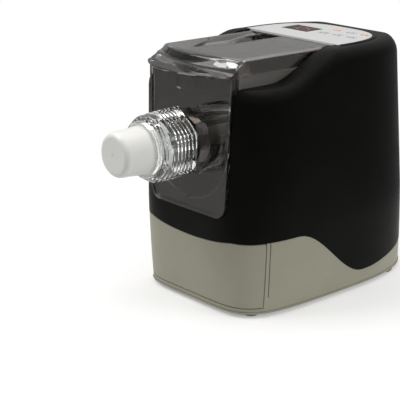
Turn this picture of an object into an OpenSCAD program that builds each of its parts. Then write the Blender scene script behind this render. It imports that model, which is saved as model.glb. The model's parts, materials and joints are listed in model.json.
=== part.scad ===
// Electric pasta maker: a two-colour moulded casing with a mixing bin under a see-through lid,
// a front panel whose threaded barrel carries the die and its ring nut, a geared motor behind
// the bin and a storage drawer in the base.
// Datum while modelling: x = 0 on the symmetry plane, y = 0 on the front panel's top edge,
// z = 0 on the table. Front is -Y. place() then centres the length on the origin.

/* [Casing] */
// Width of the casing at its widest
body_w = 209; // [180:0.1:250]
// Depth of the casing from its front face to its back
body_d = 308.6; // [298:0.1:370]
// Height of the casing top above the table
body_h = 291.8; // [288:0.1:350]
// How far the low shoulders beside the bin lie below the top
shoulder_drop = 31.8; // [26:0.1:40]
// Radius along the casing's top edges
top_round = 18; // [10:0.1:20]
// Wall thickness of the mouldings
wall = 2.5; // [2:0.1:3]
// How far the back leans forward at the top
rear_lean = 28; // [12:0.1:32]
// How far the foot of the casing is drawn in all round
foot_inset = 4.2; // [2:0.1:8]

/* [Base] */
// Height of the grey base at the front corners
base_h = 89; // [80:0.1:100]
// Lowest height of the colour line on the sides
dip_h = 22.6; // [18:0.1:30]
// Ground clearance under the base plate
foot_h = 4.5; // [3:0.1:8]
// Thickness of the base plate
plate_t = 2.5; // [2:0.1:4]
// Depth of the drawer's wrap-round front
drawer_wrap = 32.5; // [27:0.1:36]
// Outer width of the drawer tray
drawer_w = 148; // [120:0.1:150]

/* [Bin and panel] */
// Height of the auger axis above the table
axis_h = 192.6; // [190:0.1:194]
// Inner radius of the bin's round bottom
bin_r = 64; // [58:0.1:64]
// Space between the bin's side and the bay that holds it, at its top
bay_margin = 4.5; // [4:0.1:8]
// How much narrower the bay is at its bottom, each side
bay_taper = 6.5; // [4:0.1:7]
// Depth of the bay, front edge to bulkhead
bay_d = 153.8; // [153:0.1:165]
// Space between the bin's round bottom and the bay's floor
bay_drop = 12.9; // [11:0.1:16]
// How far the bin's rim lies below the casing top
rim_drop = 19.5; // [16:0.1:22]
// Thickness of the front panel
panel_t = 4; // [3:0.1:5]
// How far the panel's foot stands forward of its top
panel_lean = 5.5; // [0:0.1:8]

/* [Nozzle] */
// Bore radius of the barrel
barrel_bore_r = 22; // [18:0.1:24]
// Outer radius of the barrel over its thread
barrel_r = 31; // [28:0.1:32]
// Length of the barrel in front of the datum
barrel_l = 52; // [42:0.1:63]
// Wall of the ring nut over the barrel, at its flats
nut_wall = 6; // [5:0.1:14]
// How much smaller than the barrel the die's cap is, where it leaves the nut
die_step = 3.6; // [3:0.1:7]
// How far the die's cap stands out of the nut
die_l = 37.5; // [28:0.1:48]

/* [Lid] */
// How much narrower the lid is at its top, each side
lid_taper = 4.5; // [4:0.1:7]
// Height of the lid's skirt
skirt_h = 18; // [16:0.1:20]
// How far the lip of the visor stands out in its middle
lip_reach = 28.5; // [15:0.1:30]
// How far the lip stands out at the lid's sides
lip_side = 4.5; // [0:0.1:9]

/* [Drive] */
// Radius of the drive shaft
shaft_r = 6; // [5:0.1:7]
// Tooth module of the slow gear pair
slow_m = 1.75; // [1.6:0.01:1.8]
// Tooth module of the fast gear pair
fast_m = 1.25; // [1.1:0.01:1.3]
// Teeth of the output gear
output_teeth = 64; // [60:1:66]
// Teeth of the slow pinion
slow_pinion_teeth = 16; // [14:1:18]
// Teeth of the intermediate gear
middle_teeth = 60; // [56:1:62]
// Teeth of the motor pinion
motor_teeth = 14; // [13:1:16]
// Outer radius of the motor
motor_r = 43; // [36:0.1:45]

/* [Controls] */
// Depth of the control panel
fascia_d = 96; // [88:0.1:110]
// Width of the control panel
fascia_w = 161; // [150:0.1:168]
// Length of a key
key_l = 15; // [12:0.1:18]
// Width of a key
key_w = 9; // [7:0.1:11]
// Travel of a key
key_travel = 0.5; // [0.3:0.1:0.8]

/* [Hidden] */
$fn = 64;

// Colours
casing_black = [0.05, 0.05, 0.05];
base_grey = [0.52, 0.51, 0.47];
smoke = [0.28, 0.27, 0.26, 0.55];
clear = [0.86, 0.88, 0.88, 0.4];
white = [0.93, 0.93, 0.92];
steel = [0.7, 0.71, 0.72];
rubber = [0.16, 0.16, 0.16];
gearcase_grey = [0.35, 0.36, 0.38];

// Clearances
joint_gap = 0.3;   // between fixed mouldings
slide_gap = 0.8;   // round a piece that moves
run_gap = 0.05;    // radial, shaft in bore
press_gap = 0.03;  // radial, part pressed into a bore

// Casing outline
y_front = -5;
y_rear = y_front + body_d;
y_mid = (y_front + y_rear) / 2;
y_half = body_d / 2;
front_power = 5.5;    // squareness of the front corners
rear_power = 3.23;    // squareness of the rear corners
tail_taper = 0.041;   // narrowing towards the back
y_widest = 52;        // where the plan is widest
flare_h = 110;        // height at which the foot's inset ends
top_draft = 2.5;      // draft of the walls at the top
front_round = 10;     // radius over the front of the shoulders
rear_round = 20;      // radius over the back
lean_power = 1.4;     // the lean grows towards the top
base_step = 0.3;      // the base lies this far inside the casing
shoulder_h = body_h - shoulder_drop;

function smooth(t) = let (c = min(1, max(0, t))) c * c * (3 - 2 * c);
function power_r(t, n) = pow(pow(abs(cos(t)), n) + pow(abs(sin(t)), n), -1 / n);
function plan_power(t) = sin(t) < 0 ? front_power : rear_power;
// Inset of the side walls at height z
function inset(z) = z < flare_h
    ? foot_inset * pow(1 - max(0, z) / flare_h, 1.6)
    : top_draft * pow((z - flare_h) / (body_h - flare_h), 2);
function rear_at(z) = y_rear - rear_lean * pow(max(0, z) / body_h, lean_power);
// A point of the casing's plan at angle t and height z, d inside the outer surface
function plan_point(t, z, d) =
    let (
        q = power_r(t, plan_power(t)),
        e = inset(z) + d,
        front = y_mid - y_front - e,
        back = rear_at(z) - d - y_mid,
        y = y_mid + (sin(t) < 0 ? front : back) * sin(t) * q,
        narrow = 1 - tail_taper * pow((y - y_widest) / y_half, 2)
    )
    [(body_w / 2 - e) * cos(t) * q * narrow, y, z];

// Height of the casing top along its length, and its rounding over both ends
rise_y0 = 55;
rise_y1 = 142;
function crown(y) = shoulder_h + (body_h - shoulder_h) * smooth((y - rise_y0) / (rise_y1 - rise_y0));
function drop(r, d) = d >= r ? 0 : r - sqrt(max(0, r * r - (r - d) * (r - d)));
function end_drop(y, d) =
    drop(front_round, y - y_front - top_draft - d) + drop(rear_round, rear_at(body_h) - d - y);

// Colour line between base and casing
line_y0 = 72;
line_y1 = 185;
line_y2 = 200;
tail_rise = 20;
front_dip = 7.4;
corner_lift = 1.5;
corner_y0 = 20;
corner_y1 = 65;
front_dip_half = 77;
function line_z(y) = y < line_y2
    ? dip_h + (base_h - dip_h) * (1 - smooth((y - line_y0) / (line_y1 - line_y0)))
        + corner_lift * pow(min(1, max(0, (corner_y1 - y) / (corner_y1 - corner_y0))), 2)
    : dip_h + tail_rise * pow((y - line_y2) / (y_rear - line_y2), 1.3);

// Bay and panel
bin_wall = 3;
bin_half = bin_r + bin_wall;
bay_w = 2 * (bin_half + bay_margin);
bay_foot_w = bay_w - 2 * bay_taper;
bay_floor = axis_h - bin_half - bay_drop;
bay_corner = 17;
rim_h = body_h - rim_drop;
panel_top = rim_h - 0.8;
panel_rim = 4;
panel_rim_h = 1.2;
gasket_t = 1.2;
seat_gap = 0.2;
flange_t = 3;
bin_y1 = bay_d - 4.8;
neck_r = 15;           // boss behind the bin, round the shaft
neck_l = 4;
seal_r = 12;           // seat of the shaft seal in that boss
rim_band = 19;         // the rim's flat sides reach below the shoulders
rim_gap = 0.6;         // between them and the bay
flange_y = panel_t + gasket_t + seat_gap;
function bay_side(z) =
    (bay_foot_w + (bay_w - bay_foot_w) * (z - bay_floor) / (panel_top - bay_floor)) / 2;
function panel_y(z) = -panel_lean * (panel_top - z) / (panel_top - bay_floor);

// Nozzle
barrel_wall_r = barrel_r - 2;
flare_l = 12;          // flare where the barrel meets the panel
flare_w = 7;
nut_y1 = -21.6;
nut_r = (barrel_r + nut_wall) / cos(30);
nut_turn = 83.6;
flange_r = barrel_r - 0.4;
die_flange_t = 13.2;
die_seat = -barrel_l - joint_gap;
die_face = die_seat - die_flange_t;
nut_lip = 5;
nut_y0 = die_face - joint_gap - nut_lip;
nut_dome_y = nut_y0 + 30;
nut_lip_r = nut_r - 12.5;
nut_full = nut_r + 0.8;
die_r = barrel_r - die_step;
die_end = nut_y0 - die_l;
die_end_r = die_r - 2.2;
die_end_round = 6.5;
die_bore = barrel_bore_r - 1;
die_slots = 7;
slot_pitch = 4.2;
slot_w = 1.8;
slot_l = 16;
auger_gap = 0.5;
auger_r = barrel_bore_r - auger_gap;
auger_core_r = 9;
auger_y0 = -barrel_l + 4;
auger_y1 = 16;
auger_pitch = 24;
auger_flight = 62;

// Lid
lid_top = body_h - 0.7;
lid_y1 = bay_d - 1;
lid_foot = rim_h + 0.5;
lid_gap = 1;           // between the lid's foot and the bay's sides
lid_foot_half = bay_w / 2 - lid_gap;
lid_half = lid_foot_half - lid_taper;
nose_y = 1;            // front of the flat top, in the middle
nose_bow = 14;         // how much further back it lies at the sides
nose_power = 2.3;
nose_round = 6;        // rounding from the flat top into the front
lid_edge = 2.5;        // rounding along the top's sides
fold_y = -3;           // crease where the front turns out into the lip
fold_z = lid_top - 13.4;
fold_bow = 10;         // how much further back the crease lies at the sides
fold_lift = 2.2;       // how much higher the crease lies at the sides
lip_power = 2.6;
lip_z = lid_foot + 2.7;
hinge_y = bay_d - 10.3;
hinge_z = lid_top - 4.8;
pin_r = 2.5;
ear_x0 = lid_half + 0.8;
ear_x1 = bay_w / 2 - 0.4;
ear_r = 5;
latch_x = -8.5;
tongue_half = 11;
tongue_y = panel_t + 3.6;
tongue_t = 2.2;
tongue_z = lid_foot - 17;
guide_half = 15;
guide_t = 1.6;
guide_y1 = panel_t + 10;
guide_z0 = panel_top - 24;

// Drive positions along y
box_y0 = bay_d + 4.2;
plate_w = 3;
slow_y0 = box_y0 + 6;
slow_y1 = slow_y0 + 11;
fast_y0 = slow_y1 + 1.5;
fast_y1 = fast_y0 + 9;
box_y1 = fast_y1 + 4.5;
cover_y1 = box_y1 + plate_w;
shield_t = 3.5;
stator_y0 = cover_y1 + shield_t;
stator_l = 50;
stator_y1 = stator_y0 + stator_l;
fan_y0 = stator_y1 + shield_t + 3;
fan_l = 12;
fan_r = motor_r - 5;
rotor_bore = motor_r - 18.5;
rotor_shaft_r = 4;
// Drive positions across
slow_reach = slow_m * (output_teeth + slow_pinion_teeth) / 2;
fast_reach = fast_m * (middle_teeth + motor_teeth) / 2;
slow_angle = -60;
mid_x = slow_reach * cos(slow_angle);
mid_z = axis_h + slow_reach * sin(slow_angle);
fast_angle = 180 + acos(mid_x / fast_reach);
motor_z = mid_z + fast_reach * sin(fast_angle);
backlash = 0.12;
tooth_clear = 0.25;
pressure_angle = 25;
case_clear = 3;
web_share = 0.3;       // holes in a gear's web lie at this share of its diameter
slow_web_r = 10;
fast_web_r = 6;
boss_r = 5;
bush_wall = 3;
bush_l = 5;

// Control panel
fascia_y0 = bay_d + 0.3;
fascia_t = 2.5;
fascia_top = body_h + 0.5;
fascia_z = fascia_top - fascia_t;
fascia_power = 3;
fascia_ledge = 5;
window_x = -31;
window_y = fascia_y0 + 48;
window_l = 44;
window_w = 29;
key_gap = 0.25;
key_proud = 0.6;
key_stem_l = 2.2;
key_x0 = 10;
key_dx = 22;
key_y0 = fascia_y0 + 43;
key_dy = 23;

// Rear face
cover_half = 55;
cover_z0 = 62;
cover_z1 = 200;
vent_count = 9;
vent_half = 38;
vent_z0 = cover_z0 + 50;
vent_pitch = 9;
vent_h = 3.5;
inlet_x = -28;
inlet_z = cover_z0 + 22;
inlet_l = 27.5;
inlet_h = 19.5;
inlet_depth = 17;
inlet_flange = 3.5;
inlet_wall = 1.5;
earth_z = 3;           // height of the middle contact above the socket's axis
line_z0 = -1;          // height of the outer contacts
contact_dx = 7;
contact_half = [1, 2];
inlet_y = rear_at(inlet_z) + 1;

// Base
plate_top = foot_h + plate_t;
plate_proud = 0.9;     // the plate's rim stands out under the base
plate_edge = 0.6;
sill_h = 11.5;
drawer_gap = 0.6;
drawer_corner = 4;
wrap_y = y_front + drawer_wrap;
drawer_side_top = line_z(wrap_y) - joint_gap - drawer_gap;
bulk_t = 3;
tray_z0 = 13;
tray_h = 62;
tray_y0 = wrap_y + 0.1;
tray_l = 118;
tray_wall = 2;
foot_r = 10;
foot_x = body_w / 2 - 29;
foot_y0 = y_front + 30;
foot_y1 = y_rear - 56;
groove_y = wrap_y + 4.6;       // short groove behind the drawer's seam
groove_w = 1.1;
groove_depth = 1.5;
groove_z = sill_h + 12;
intake_half = 32;              // air intake slots under the motor
intake_w = 4;
intake_pitch = 12;
intake_y0 = y_mid + 25;
intake_y1 = y_rear - 90;
overall_y0 = die_end;
overall_y1 = rear_at(foot_h + plate_edge) - base_step + plate_proud;
origin_y = (overall_y0 + overall_y1) / 2;

module place() {
    translate([0, -origin_y, 0]) children();
}

// ---- Shared shapes ----

module along_y(y0, y1) {
    translate([0, y1, 0]) rotate([90, 0, 0]) linear_extrude(y1 - y0) children();
}

module along_x(x0, x1) {
    translate([x0, 0, 0]) rotate([90, 0, 90]) linear_extrude(x1 - x0) children();
}

module rod_y(r, y0, y1, x = 0, z = 0, sides = $fn) {
    translate([x, y0, z]) rotate([-90, 0, 0]) cylinder(r = r, h = y1 - y0, $fn = sides);
}

module box(x0, x1, y0, y1, z0, z1) {
    translate([x0, y0, z0]) cube([x1 - x0, y1 - y0, z1 - z0]);
}

// Turned body about the auger axis, profile given as [radius, y]
module turned_y(points) {
    translate([0, 0, axis_h])
        rotate([-90, 0, 0]) rotate_extrude() polygon(points);
}

// Closed skin over rings that all have the same number of points. Rings run anticlockwise
// when the next ring lies towards the viewer. paired = true closes the ends with strips
// between points that face each other, for end rings that are mirrored but not flat.
module skin(rings, paired = false) {
    n = len(rings[0]);
    m = len(rings);
    walls = [
        for (i = [0 : m - 2]) for (j = [0 : n - 1])
            let (a = i * n + j, b = i * n + (j + 1) % n)
            each [[a, a + n, b + n], [a, b + n, b]]
    ];
    e = (m - 1) * n;
    ends = paired
        ? [for (j = [0 : n / 2 - 2])
            let (k = n - 1 - j)
            each [[j, j + 1, k - 1], [j, k - 1, k], [e + j, e + k - 1, e + j + 1], [e + j, e + k, e + k - 1]]]
        : [[for (j = [0 : n - 1]) j], [for (j = [n - 1 : -1 : 0]) e + j]];
    polyhedron([for (r = rings) each r], concat(walls, ends), convexity = 8);
}

// One cross-section of the casing at plan angle t, d inside the outer surface
side_heights = [8, 34, 62, 88, 110];
arc_steps = 5;
function section_half(t, d) =
    let (
        y = plan_point(t, body_h, d)[1],
        top = crown(y) - end_drop(y, d) - d,
        width = plan_point(t, top, d)[0],
        r = min(top_round - d, width * 0.9)
    )
    concat(
        [for (z = side_heights) plan_point(t, z + (z == side_heights[0] ? -d : 0), d)],
        [for (k = [0 : arc_steps])
            let (
                a = 90 * k / arc_steps,
                z = top - r + r * sin(a),
                p = plan_point(t, z, d)
            )
            [p[0] - r + r * cos(a), p[1], z]]
    );
function section(t, d) =
    let (h = section_half(t, d), n = len(h))
    concat([for (p = h) [-p[0], p[1], p[2]]], [for (i = [n - 1 : -1 : 0]) h[i]]);
casing_angles = concat(
    [-87, -78, -70, -64],
    [for (t = [-60 : 3 : 0]) t],
    [for (t = [6 : 6 : 30]) t],
    [for (t = [35 : 4 : 59]) t],
    [for (t = [62 : 3 : 83]) t],
    [87]
);
module casing_skin(d = 0) {
    skin([for (t = casing_angles) section(t, d)], paired = true);
}

// Everything below the colour line, lowered by gap
module below_line(gap = 0) {
    far = body_w;
    difference() {
        along_x(-far, far) polygon(concat(
            [[y_rear + far, 0], [y_front - far, 0], [y_front - far, base_h - gap]],
            [for (y = [line_y0 : 8 : y_rear]) [y, line_z(y) - gap]],
            [[y_rear + far, line_z(y_rear) - gap]]
        ));
        along_y(y_front - far, y_front + 25) polygon(concat(
            [for (x = [-front_dip_half : 7 : front_dip_half])
                [x, base_h + corner_lift - gap - front_dip * (1 - pow(x / front_dip_half, 2))]],
            [[front_dip_half, body_h], [-front_dip_half, body_h]]
        ));
    }
}

// U-shaped opening of the bay seen from the front, shrunk all round by gap
module bay_outline(gap, z_top) {
    z0 = bay_floor + gap;
    r = bay_corner - gap;
    side = function (z) bay_side(z) - gap;
    polygon(concat(
        [for (a = [-90 : 10 : 0]) [side(z0 + r) - r + r * cos(a), z0 + r + r * sin(a)]],
        [[side(min(z_top, rim_h)), min(z_top, rim_h)]],
        z_top > rim_h ? [[side(rim_h), z_top], [-side(rim_h), z_top]] : [],
        [[-side(min(z_top, rim_h)), min(z_top, rim_h)]],
        [for (a = [0 : -10 : -90]) [-side(z0 + r) + r - r * cos(a), z0 + r + r * sin(a)]]
    ));
}

// Slab parallel to the leaning front panel, from a to b behind its front face
module panel_slab(a, b) {
    z0 = bay_floor - 20;
    z1 = rim_h + 20;
    along_x(-body_w, body_w) polygon([
        [panel_y(z0) + a, z0], [panel_y(z1) + a, z1], [panel_y(z1) + b, z1], [panel_y(z0) + b, z0]
    ]);
}

module fascia_outline(gap) {
    half = fascia_w / 2 - gap;
    depth = fascia_d - 2 * gap;
    translate([0, fascia_y0 + gap]) polygon([
        for (t = [0 : 6 : 180])
            let (q = power_r(t, fascia_power)) [half * cos(t) * q, depth * sin(t) * q]
    ]);
}

// ---- Casing ----

module upper_shell() color(casing_black) place() difference() {
    union() {
        difference() {
            casing_skin();
            casing_skin(wall);
        }
        intersection() {
            casing_skin(wall / 2);
            union() {
                along_y(y_front, bay_d + wall) bay_outline(-wall, body_h);
                translate([0, 0, fascia_z - wall]) linear_extrude(fascia_t + wall)
                    fascia_outline(-wall);
            }
        }
    }
    below_line();
    along_y(y_front - 1, bay_d) bay_outline(0, body_h + 1);
    along_y(bay_d - 1, bay_d + wall + 1) translate([0, axis_h]) circle(r = neck_r + 5);
    translate([0, 0, fascia_z - joint_gap]) linear_extrude(fascia_t + 2)
        fascia_outline(-joint_gap);
    translate([0, 0, fascia_z - wall - 1]) linear_extrude(fascia_t + wall)
        fascia_outline(fascia_ledge);
    rear_window(joint_gap);
}

// Opening in the back for the rear cover, grown by gap
module rear_window(gap) {
    box(-cover_half - gap, cover_half + gap, y_rear - 60, y_rear + 10,
        cover_z0 - gap, cover_z1 + gap);
}

module rear_cover() color(casing_black) place() difference() {
    intersection() {
        difference() {
            casing_skin();
            casing_skin(wall);
        }
        rear_window(0);
    }
    for (i = [0 : vent_count - 1])
        box(-vent_half, vent_half, y_rear - 60, y_rear + 10,
            vent_z0 + vent_pitch * i, vent_z0 + vent_pitch * i + vent_h);
    inlet_cut(joint_gap);
}

module inlet_cut(gap) {
    box(inlet_x - inlet_l / 2 - gap, inlet_x + inlet_l / 2 + gap, y_rear - 60, y_rear + 10,
        inlet_z - inlet_h / 2 - gap, inlet_z + inlet_h / 2 + gap);
}

module power_inlet() color(rubber) place() difference() {
    union() {
        translate([inlet_x, 0, inlet_z]) {
            box(-inlet_l / 2, inlet_l / 2, inlet_y - inlet_depth - 3, inlet_y,
                -inlet_h / 2, inlet_h / 2);
            box(-inlet_l / 2 - inlet_flange, inlet_l / 2 + inlet_flange,
                inlet_y, inlet_y + 2, -inlet_h / 2 - inlet_flange, inlet_h / 2 + inlet_flange);
        }
    }
    translate([inlet_x, 0, inlet_z]) difference() {
        box(-inlet_l / 2 + inlet_wall, inlet_l / 2 - inlet_wall, inlet_y - inlet_depth + 1, inlet_y + 3,
            -inlet_h / 2 + inlet_wall, inlet_h / 2 - inlet_wall);
        for (x = [-contact_dx, 0, contact_dx])
            let (z = x == 0 ? earth_z : line_z0)
            box(x - contact_half[0], x + contact_half[0], inlet_y - inlet_depth, inlet_y - 2,
                z - contact_half[1], z + contact_half[1]);
    }
}

// Rings of the base, d inside its outer surface
module base_skin(d, z0, z1, step, levels) {
    skin([
        for (i = [0 : levels])
            let (z = z0 + (z1 - z0) * i / levels)
            [for (t = [0 : step : 360 - step]) plan_point(t, z, d + base_step)]
    ]);
}

module base_body(gap) {
    intersection() {
        base_skin(0, plate_top, base_h + 12, 5, 4);
        below_line(gap);
    }
}

// The drawer's zone: the front of the base above the sill, grown by gap
module drawer_zone(gap) {
    box(-body_w, body_w, y_front - body_w, wrap_y + gap, sill_h - gap, body_h);
}

screw_y0 = y_front + 62;
screw_y1 = y_rear - 82;
screw_r = 1.5;
screw_head_r = 3.4;
screw_boss_r = 4.5;
screw_boss_h = 13;
screw_spots = [
    for (s = [-1, 1]) for (y = [screw_y0, screw_y1])
        [s * (plan_point(0, 0, 0)[0] - (y == screw_y1 ? 20 : 11)), y]
];

module base_shell() color(base_grey) place() difference() {
    union() {
        difference() {
            base_body(joint_gap);
            base_skin(wall, plate_top - 1, base_h + 13, 9, 2);
            drawer_zone(drawer_gap);
        }
        intersection() {
            base_skin(wall / 2, plate_top, base_h - 7, 9, 2);
            union() {
                box(-body_w, body_w, wrap_y + drawer_gap, wrap_y + drawer_gap + bulk_t,
                    plate_top, base_h - 8);
                for (p = screw_spots) {
                    translate([p[0], p[1], plate_top]) cylinder(r = screw_boss_r, h = screw_boss_h);
                    box(min(p[0], sign(p[0]) * body_w), max(p[0], sign(p[0]) * body_w),
                        p[1] - bulk_t / 2.5, p[1] + bulk_t / 2.5, plate_top, plate_top + screw_boss_h - 2);
                }
            }
        }
    }
    box(-drawer_w / 2 - 1.5, drawer_w / 2 + 1.5, wrap_y, wrap_y + 2 * bulk_t + 2,
        plate_top - 1, tray_z0 + tray_h + 2);
    for (p = screw_spots)
        translate([p[0], p[1], plate_top - 1]) cylinder(r = screw_r + 0.2, h = screw_boss_h - 1);
    difference() {
        box(-body_w, body_w, groove_y, groove_y + groove_w, groove_z, base_h);
        base_skin(groove_depth, plate_top - 1, base_h + 13, 5, 4);
    }
}

module base_plate() color(base_grey) place() difference() {
    skin([for (z = [foot_h, foot_h + plate_edge, plate_top - 0.2])
        [for (t = [0 : 5 : 355])
            plan_point(t, z, base_step - plate_proud + (z == foot_h ? plate_edge : 0))]]);
    for (y = [intake_y0 : intake_pitch : intake_y1])
        box(-intake_half, intake_half, y, y + intake_w, 0, plate_top + 1);
    for (p = screw_spots) {
        translate([p[0], p[1], 0]) cylinder(r = screw_r + 0.2, h = plate_top + 1);
        translate([p[0], p[1], foot_h - 1]) cylinder(r = screw_head_r + 0.3, h = 2);
    }
}

module rubber_feet() color(rubber) place()
    for (x = [-foot_x, foot_x]) for (y = [foot_y0, foot_y1])
        translate([x, y, 0]) rotate_extrude()
            polygon([[0, 0], [foot_r - 2, 0], [foot_r, 2], [foot_r, foot_h], [0, foot_h]]);

module case_screws() color(steel) place()
    for (p = screw_spots) translate([p[0], p[1], 0]) {
        translate([0, 0, foot_h - 0.8]) cylinder(r = screw_head_r, h = 1.7);
        translate([0, 0, foot_h + 0.5]) cylinder(r = screw_r, h = screw_boss_h - 2);
    }

// ---- Bin ----

module bin_channel(r, y0, y1, z1) {
    rod_y(r, y0, y1, 0, axis_h);
    box(-r, r, y0, y1, axis_h, z1);
}

module mixing_bin() color(smoke) place() difference() {
    union() {
        difference() {
            bin_channel(bin_half, panel_y(bay_floor) + flange_y, bin_y1, rim_h);
            panel_slab(-50, flange_y);
        }
        along_y(flange_y + 2, bin_y1) intersection() {
            bay_outline(rim_gap, rim_h);
            translate([-body_w / 2, rim_h - rim_band]) square([body_w, rim_band]);
        }
        intersection() {
            along_y(y_front - 5, bay_d) bay_outline(joint_gap, rim_h);
            panel_slab(flange_y, flange_y + flange_t);
        }
        rod_y(neck_r, bin_y1 - 1, bin_y1 + neck_l, 0, axis_h);
    }
    bin_channel(bin_r, y_front - 20, bin_y1 - bin_wall, rim_h + 1);
    rod_y(shaft_r + 1, 0, bay_d, 0, axis_h);
    rod_y(seal_r, bin_y1, bay_d, 0, axis_h);
}

module hinge_brackets() color(casing_black) place()
    for (s = [-1, 1]) difference() {
        union() {
            translate([0, hinge_y, hinge_z])
                along_x(min(s * ear_x0, s * ear_x1), max(s * ear_x0, s * ear_x1)) circle(r = ear_r);
            box(min(s * ear_x0, s * ear_x1), max(s * ear_x0, s * ear_x1),
                hinge_y, bay_d - 0.1, hinge_z - ear_r, hinge_z + 3);
        }
        translate([0, hinge_y, hinge_z]) along_x(-body_w, body_w) circle(r = pin_r + run_gap);
    }

module lid_switch() color(rubber) place() {
    x0 = bay_side(shoulder_h - 15) + wall + 0.2;
    box(x0, x0 + 10, 24, 52, shoulder_h - 34, shoulder_h - 18);
    box(x0 + 2, x0 + 8, 28, 33, shoulder_h - 18, shoulder_h - 15);
}

// ---- Control panel ----

module key_spot(i) {
    translate([key_x0 + key_dx * (i % 3), key_y0 + key_dy * floor(i / 3), 0]) children();
}

module key_block(grow, z0, z1) {
    l = key_l / 2 + grow;
    w = key_w / 2 + grow;
    r = 2;
    translate([0, 0, z0]) linear_extrude(z1 - z0) union() {
        square([2 * l, 2 * (w - r)], center = true);
        square([2 * (l - r), 2 * w], center = true);
        for (x = [-1, 1]) for (y = [-1, 1]) translate([x * (l - r), y * (w - r)]) circle(r = r);
    }
}

module window_block(grow, z0, z1) {
    translate([window_x, window_y, z0]) linear_extrude(z1 - z0)
        square([window_l + 2 * grow, window_w + 2 * grow], center = true);
}

module control_panel() color(white) place() difference() {
    translate([0, 0, fascia_z]) linear_extrude(fascia_t) fascia_outline(0);
    window_block(0.2, fascia_z - 1, fascia_top + 1);
    for (i = [0 : 5]) key_spot(i) key_block(key_gap, fascia_z - 1, fascia_top + 1);
}

module display_window() color([0.1, 0.06, 0.06]) place() {
    window_block(0, fascia_z - 0.2, fascia_top);
    window_block(1.5, fascia_z - 1.4, fascia_z - 0.1);
}

board_t = 1.6;
board_green = [0.1, 0.35, 0.2];
board_drop = 8;        // the control board lies this far under the fascia
board_half = 69;
board_y0 = fascia_y0 + 12;
board_y1 = fascia_y0 + 72;
post_r = 3;
module control_board() color(board_green) place() {
    z1 = fascia_z - board_drop;
    box(-board_half, board_half, board_y0, board_y1, z1 - board_t, z1);
    for (i = [0 : 5]) key_spot(i)
        translate([0, 0, z1 - 0.1])
            cylinder(r = post_r, h = board_drop - key_stem_l - key_travel - 0.2);
    box(window_x - 20, window_x + 20, window_y - 12, window_y + 12, z1 - 0.1, fascia_z - board_t);
    for (x = [post_r - board_half, board_half - post_r]) for (y = [board_y0 + 4, board_y0 + 38])
        translate([x, y, z1 - 0.1]) cylinder(r = post_r, h = board_drop);
}

module key(i, tint) color(tint) place() key_spot(i) {
    key_block(0, fascia_z - 0.4, fascia_top + key_proud);
    translate([0, 0, fascia_z - key_stem_l]) cylinder(r = post_r, h = key_stem_l - 0.2);
}

key_white = [0.82, 0.83, 0.84];
key_orange = [0.93, 0.62, 0.42];
module key_power() key(3, key_orange);
module key_program() key(4, key_white);
module key_start() key(5, key_orange);
module key_down() key(0, key_white);
module key_up() key(1, key_white);
module key_pause() key(2, key_white);

// ---- Drive ----

// Involute spur gear outline centred on the origin with a tooth on the +X axis
function polar(r, a) = [r * cos(a), r * sin(a)];
module gear_outline(m, teeth) {
    pitch_r = m * teeth / 2;
    base_r = pitch_r * cos(pressure_angle);
    tip_r = pitch_r + m;
    root_r = pitch_r - m * (1 + tooth_clear);
    inv_pitch = tan(pressure_angle) * 180 / PI - pressure_angle;
    half_tooth = 90 / teeth - backlash / pitch_r * 45 / PI + inv_pitch;
    start_r = max(base_r, root_r);
    roll = function (r) sqrt(max(0, pow(r / base_r, 2) - 1)) * 180 / PI;
    turn = function (r) roll(r) - atan(roll(r) * PI / 180);
    radii = [for (k = [0 : 3]) start_r + (tip_r - start_r) * k / 3];
    foot = half_tooth - turn(start_r);
    deep = root_r < start_r - 0.01;
    polygon([
        for (i = [0 : teeth - 1])
            let (c = 360 * i / teeth)
            each concat(
                deep ? [polar(root_r, c - foot)] : [],
                [for (r = radii) polar(r, c - half_tooth + turn(r))],
                [for (k = [3 : -1 : 0]) polar(radii[k], c + half_tooth - turn(radii[k]))],
                deep ? [polar(root_r, c + foot)] : []
            )
    ]);
}

// Gear turned so that it meshes towards the angle given; space = true puts a gap there
module meshed_gear(m, teeth, angle, space) {
    rotate(angle + (space ? 180 / teeth : 0)) gear_outline(m, teeth);
}

module gear_y(x, z, y0, y1) {
    translate([x, y1, z]) rotate([90, 0, 0]) linear_extrude(y1 - y0) children();
}

module output_gear() color(white) place() gear_y(0, axis_h, slow_y0, slow_y1) difference() {
    meshed_gear(slow_m, output_teeth, slow_angle, false);
    circle(r = shaft_r);
    for (a = [0 : 60 : 300]) rotate(a + 30)
        translate([slow_m * output_teeth * web_share, 0]) circle(r = slow_web_r);
}

module intermediate_gear() color(white) place() {
    // The slow pinion's space faces the output gear; the large gear follows the same turn
    gear_y(mid_x, mid_z, slow_y0 - 0.5, slow_y1 + 0.6) difference() {
        meshed_gear(slow_m, slow_pinion_teeth, slow_angle + 180, true);
        circle(r = rotor_shaft_r + run_gap);
    }
    gear_y(mid_x, mid_z, slow_y1 + 0.6, fast_y1) difference() {
        meshed_gear(fast_m, middle_teeth, fast_angle, false);
        circle(r = rotor_shaft_r + run_gap);
        for (a = [0 : 60 : 300]) rotate(a)
            translate([fast_m * middle_teeth * (web_share + 0.04), 0]) circle(r = fast_web_r);
    }
}

module motor_pinion() color(steel) place() gear_y(0, motor_z, fast_y0 - 0.5, fast_y1 + 0.5)
    difference() {
        meshed_gear(fast_m, motor_teeth, fast_angle + 180, true);
        circle(r = rotor_shaft_r);
    }

module gearcase_outline(grow) {
    translate([0, axis_h]) circle(r = slow_m * (output_teeth / 2 + 1) + case_clear + grow);
    translate([mid_x, mid_z]) circle(r = fast_m * (middle_teeth / 2 + 1) + case_clear + grow);
    translate([0, motor_z]) circle(r = fast_m * (motor_teeth / 2 + 1) + 3 * case_clear + grow);
}

boss_spots = [[-52, axis_h - 40], [52, axis_h + 38], [-52, axis_h + 38], [mid_x + 34, mid_z - 26]];

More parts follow.
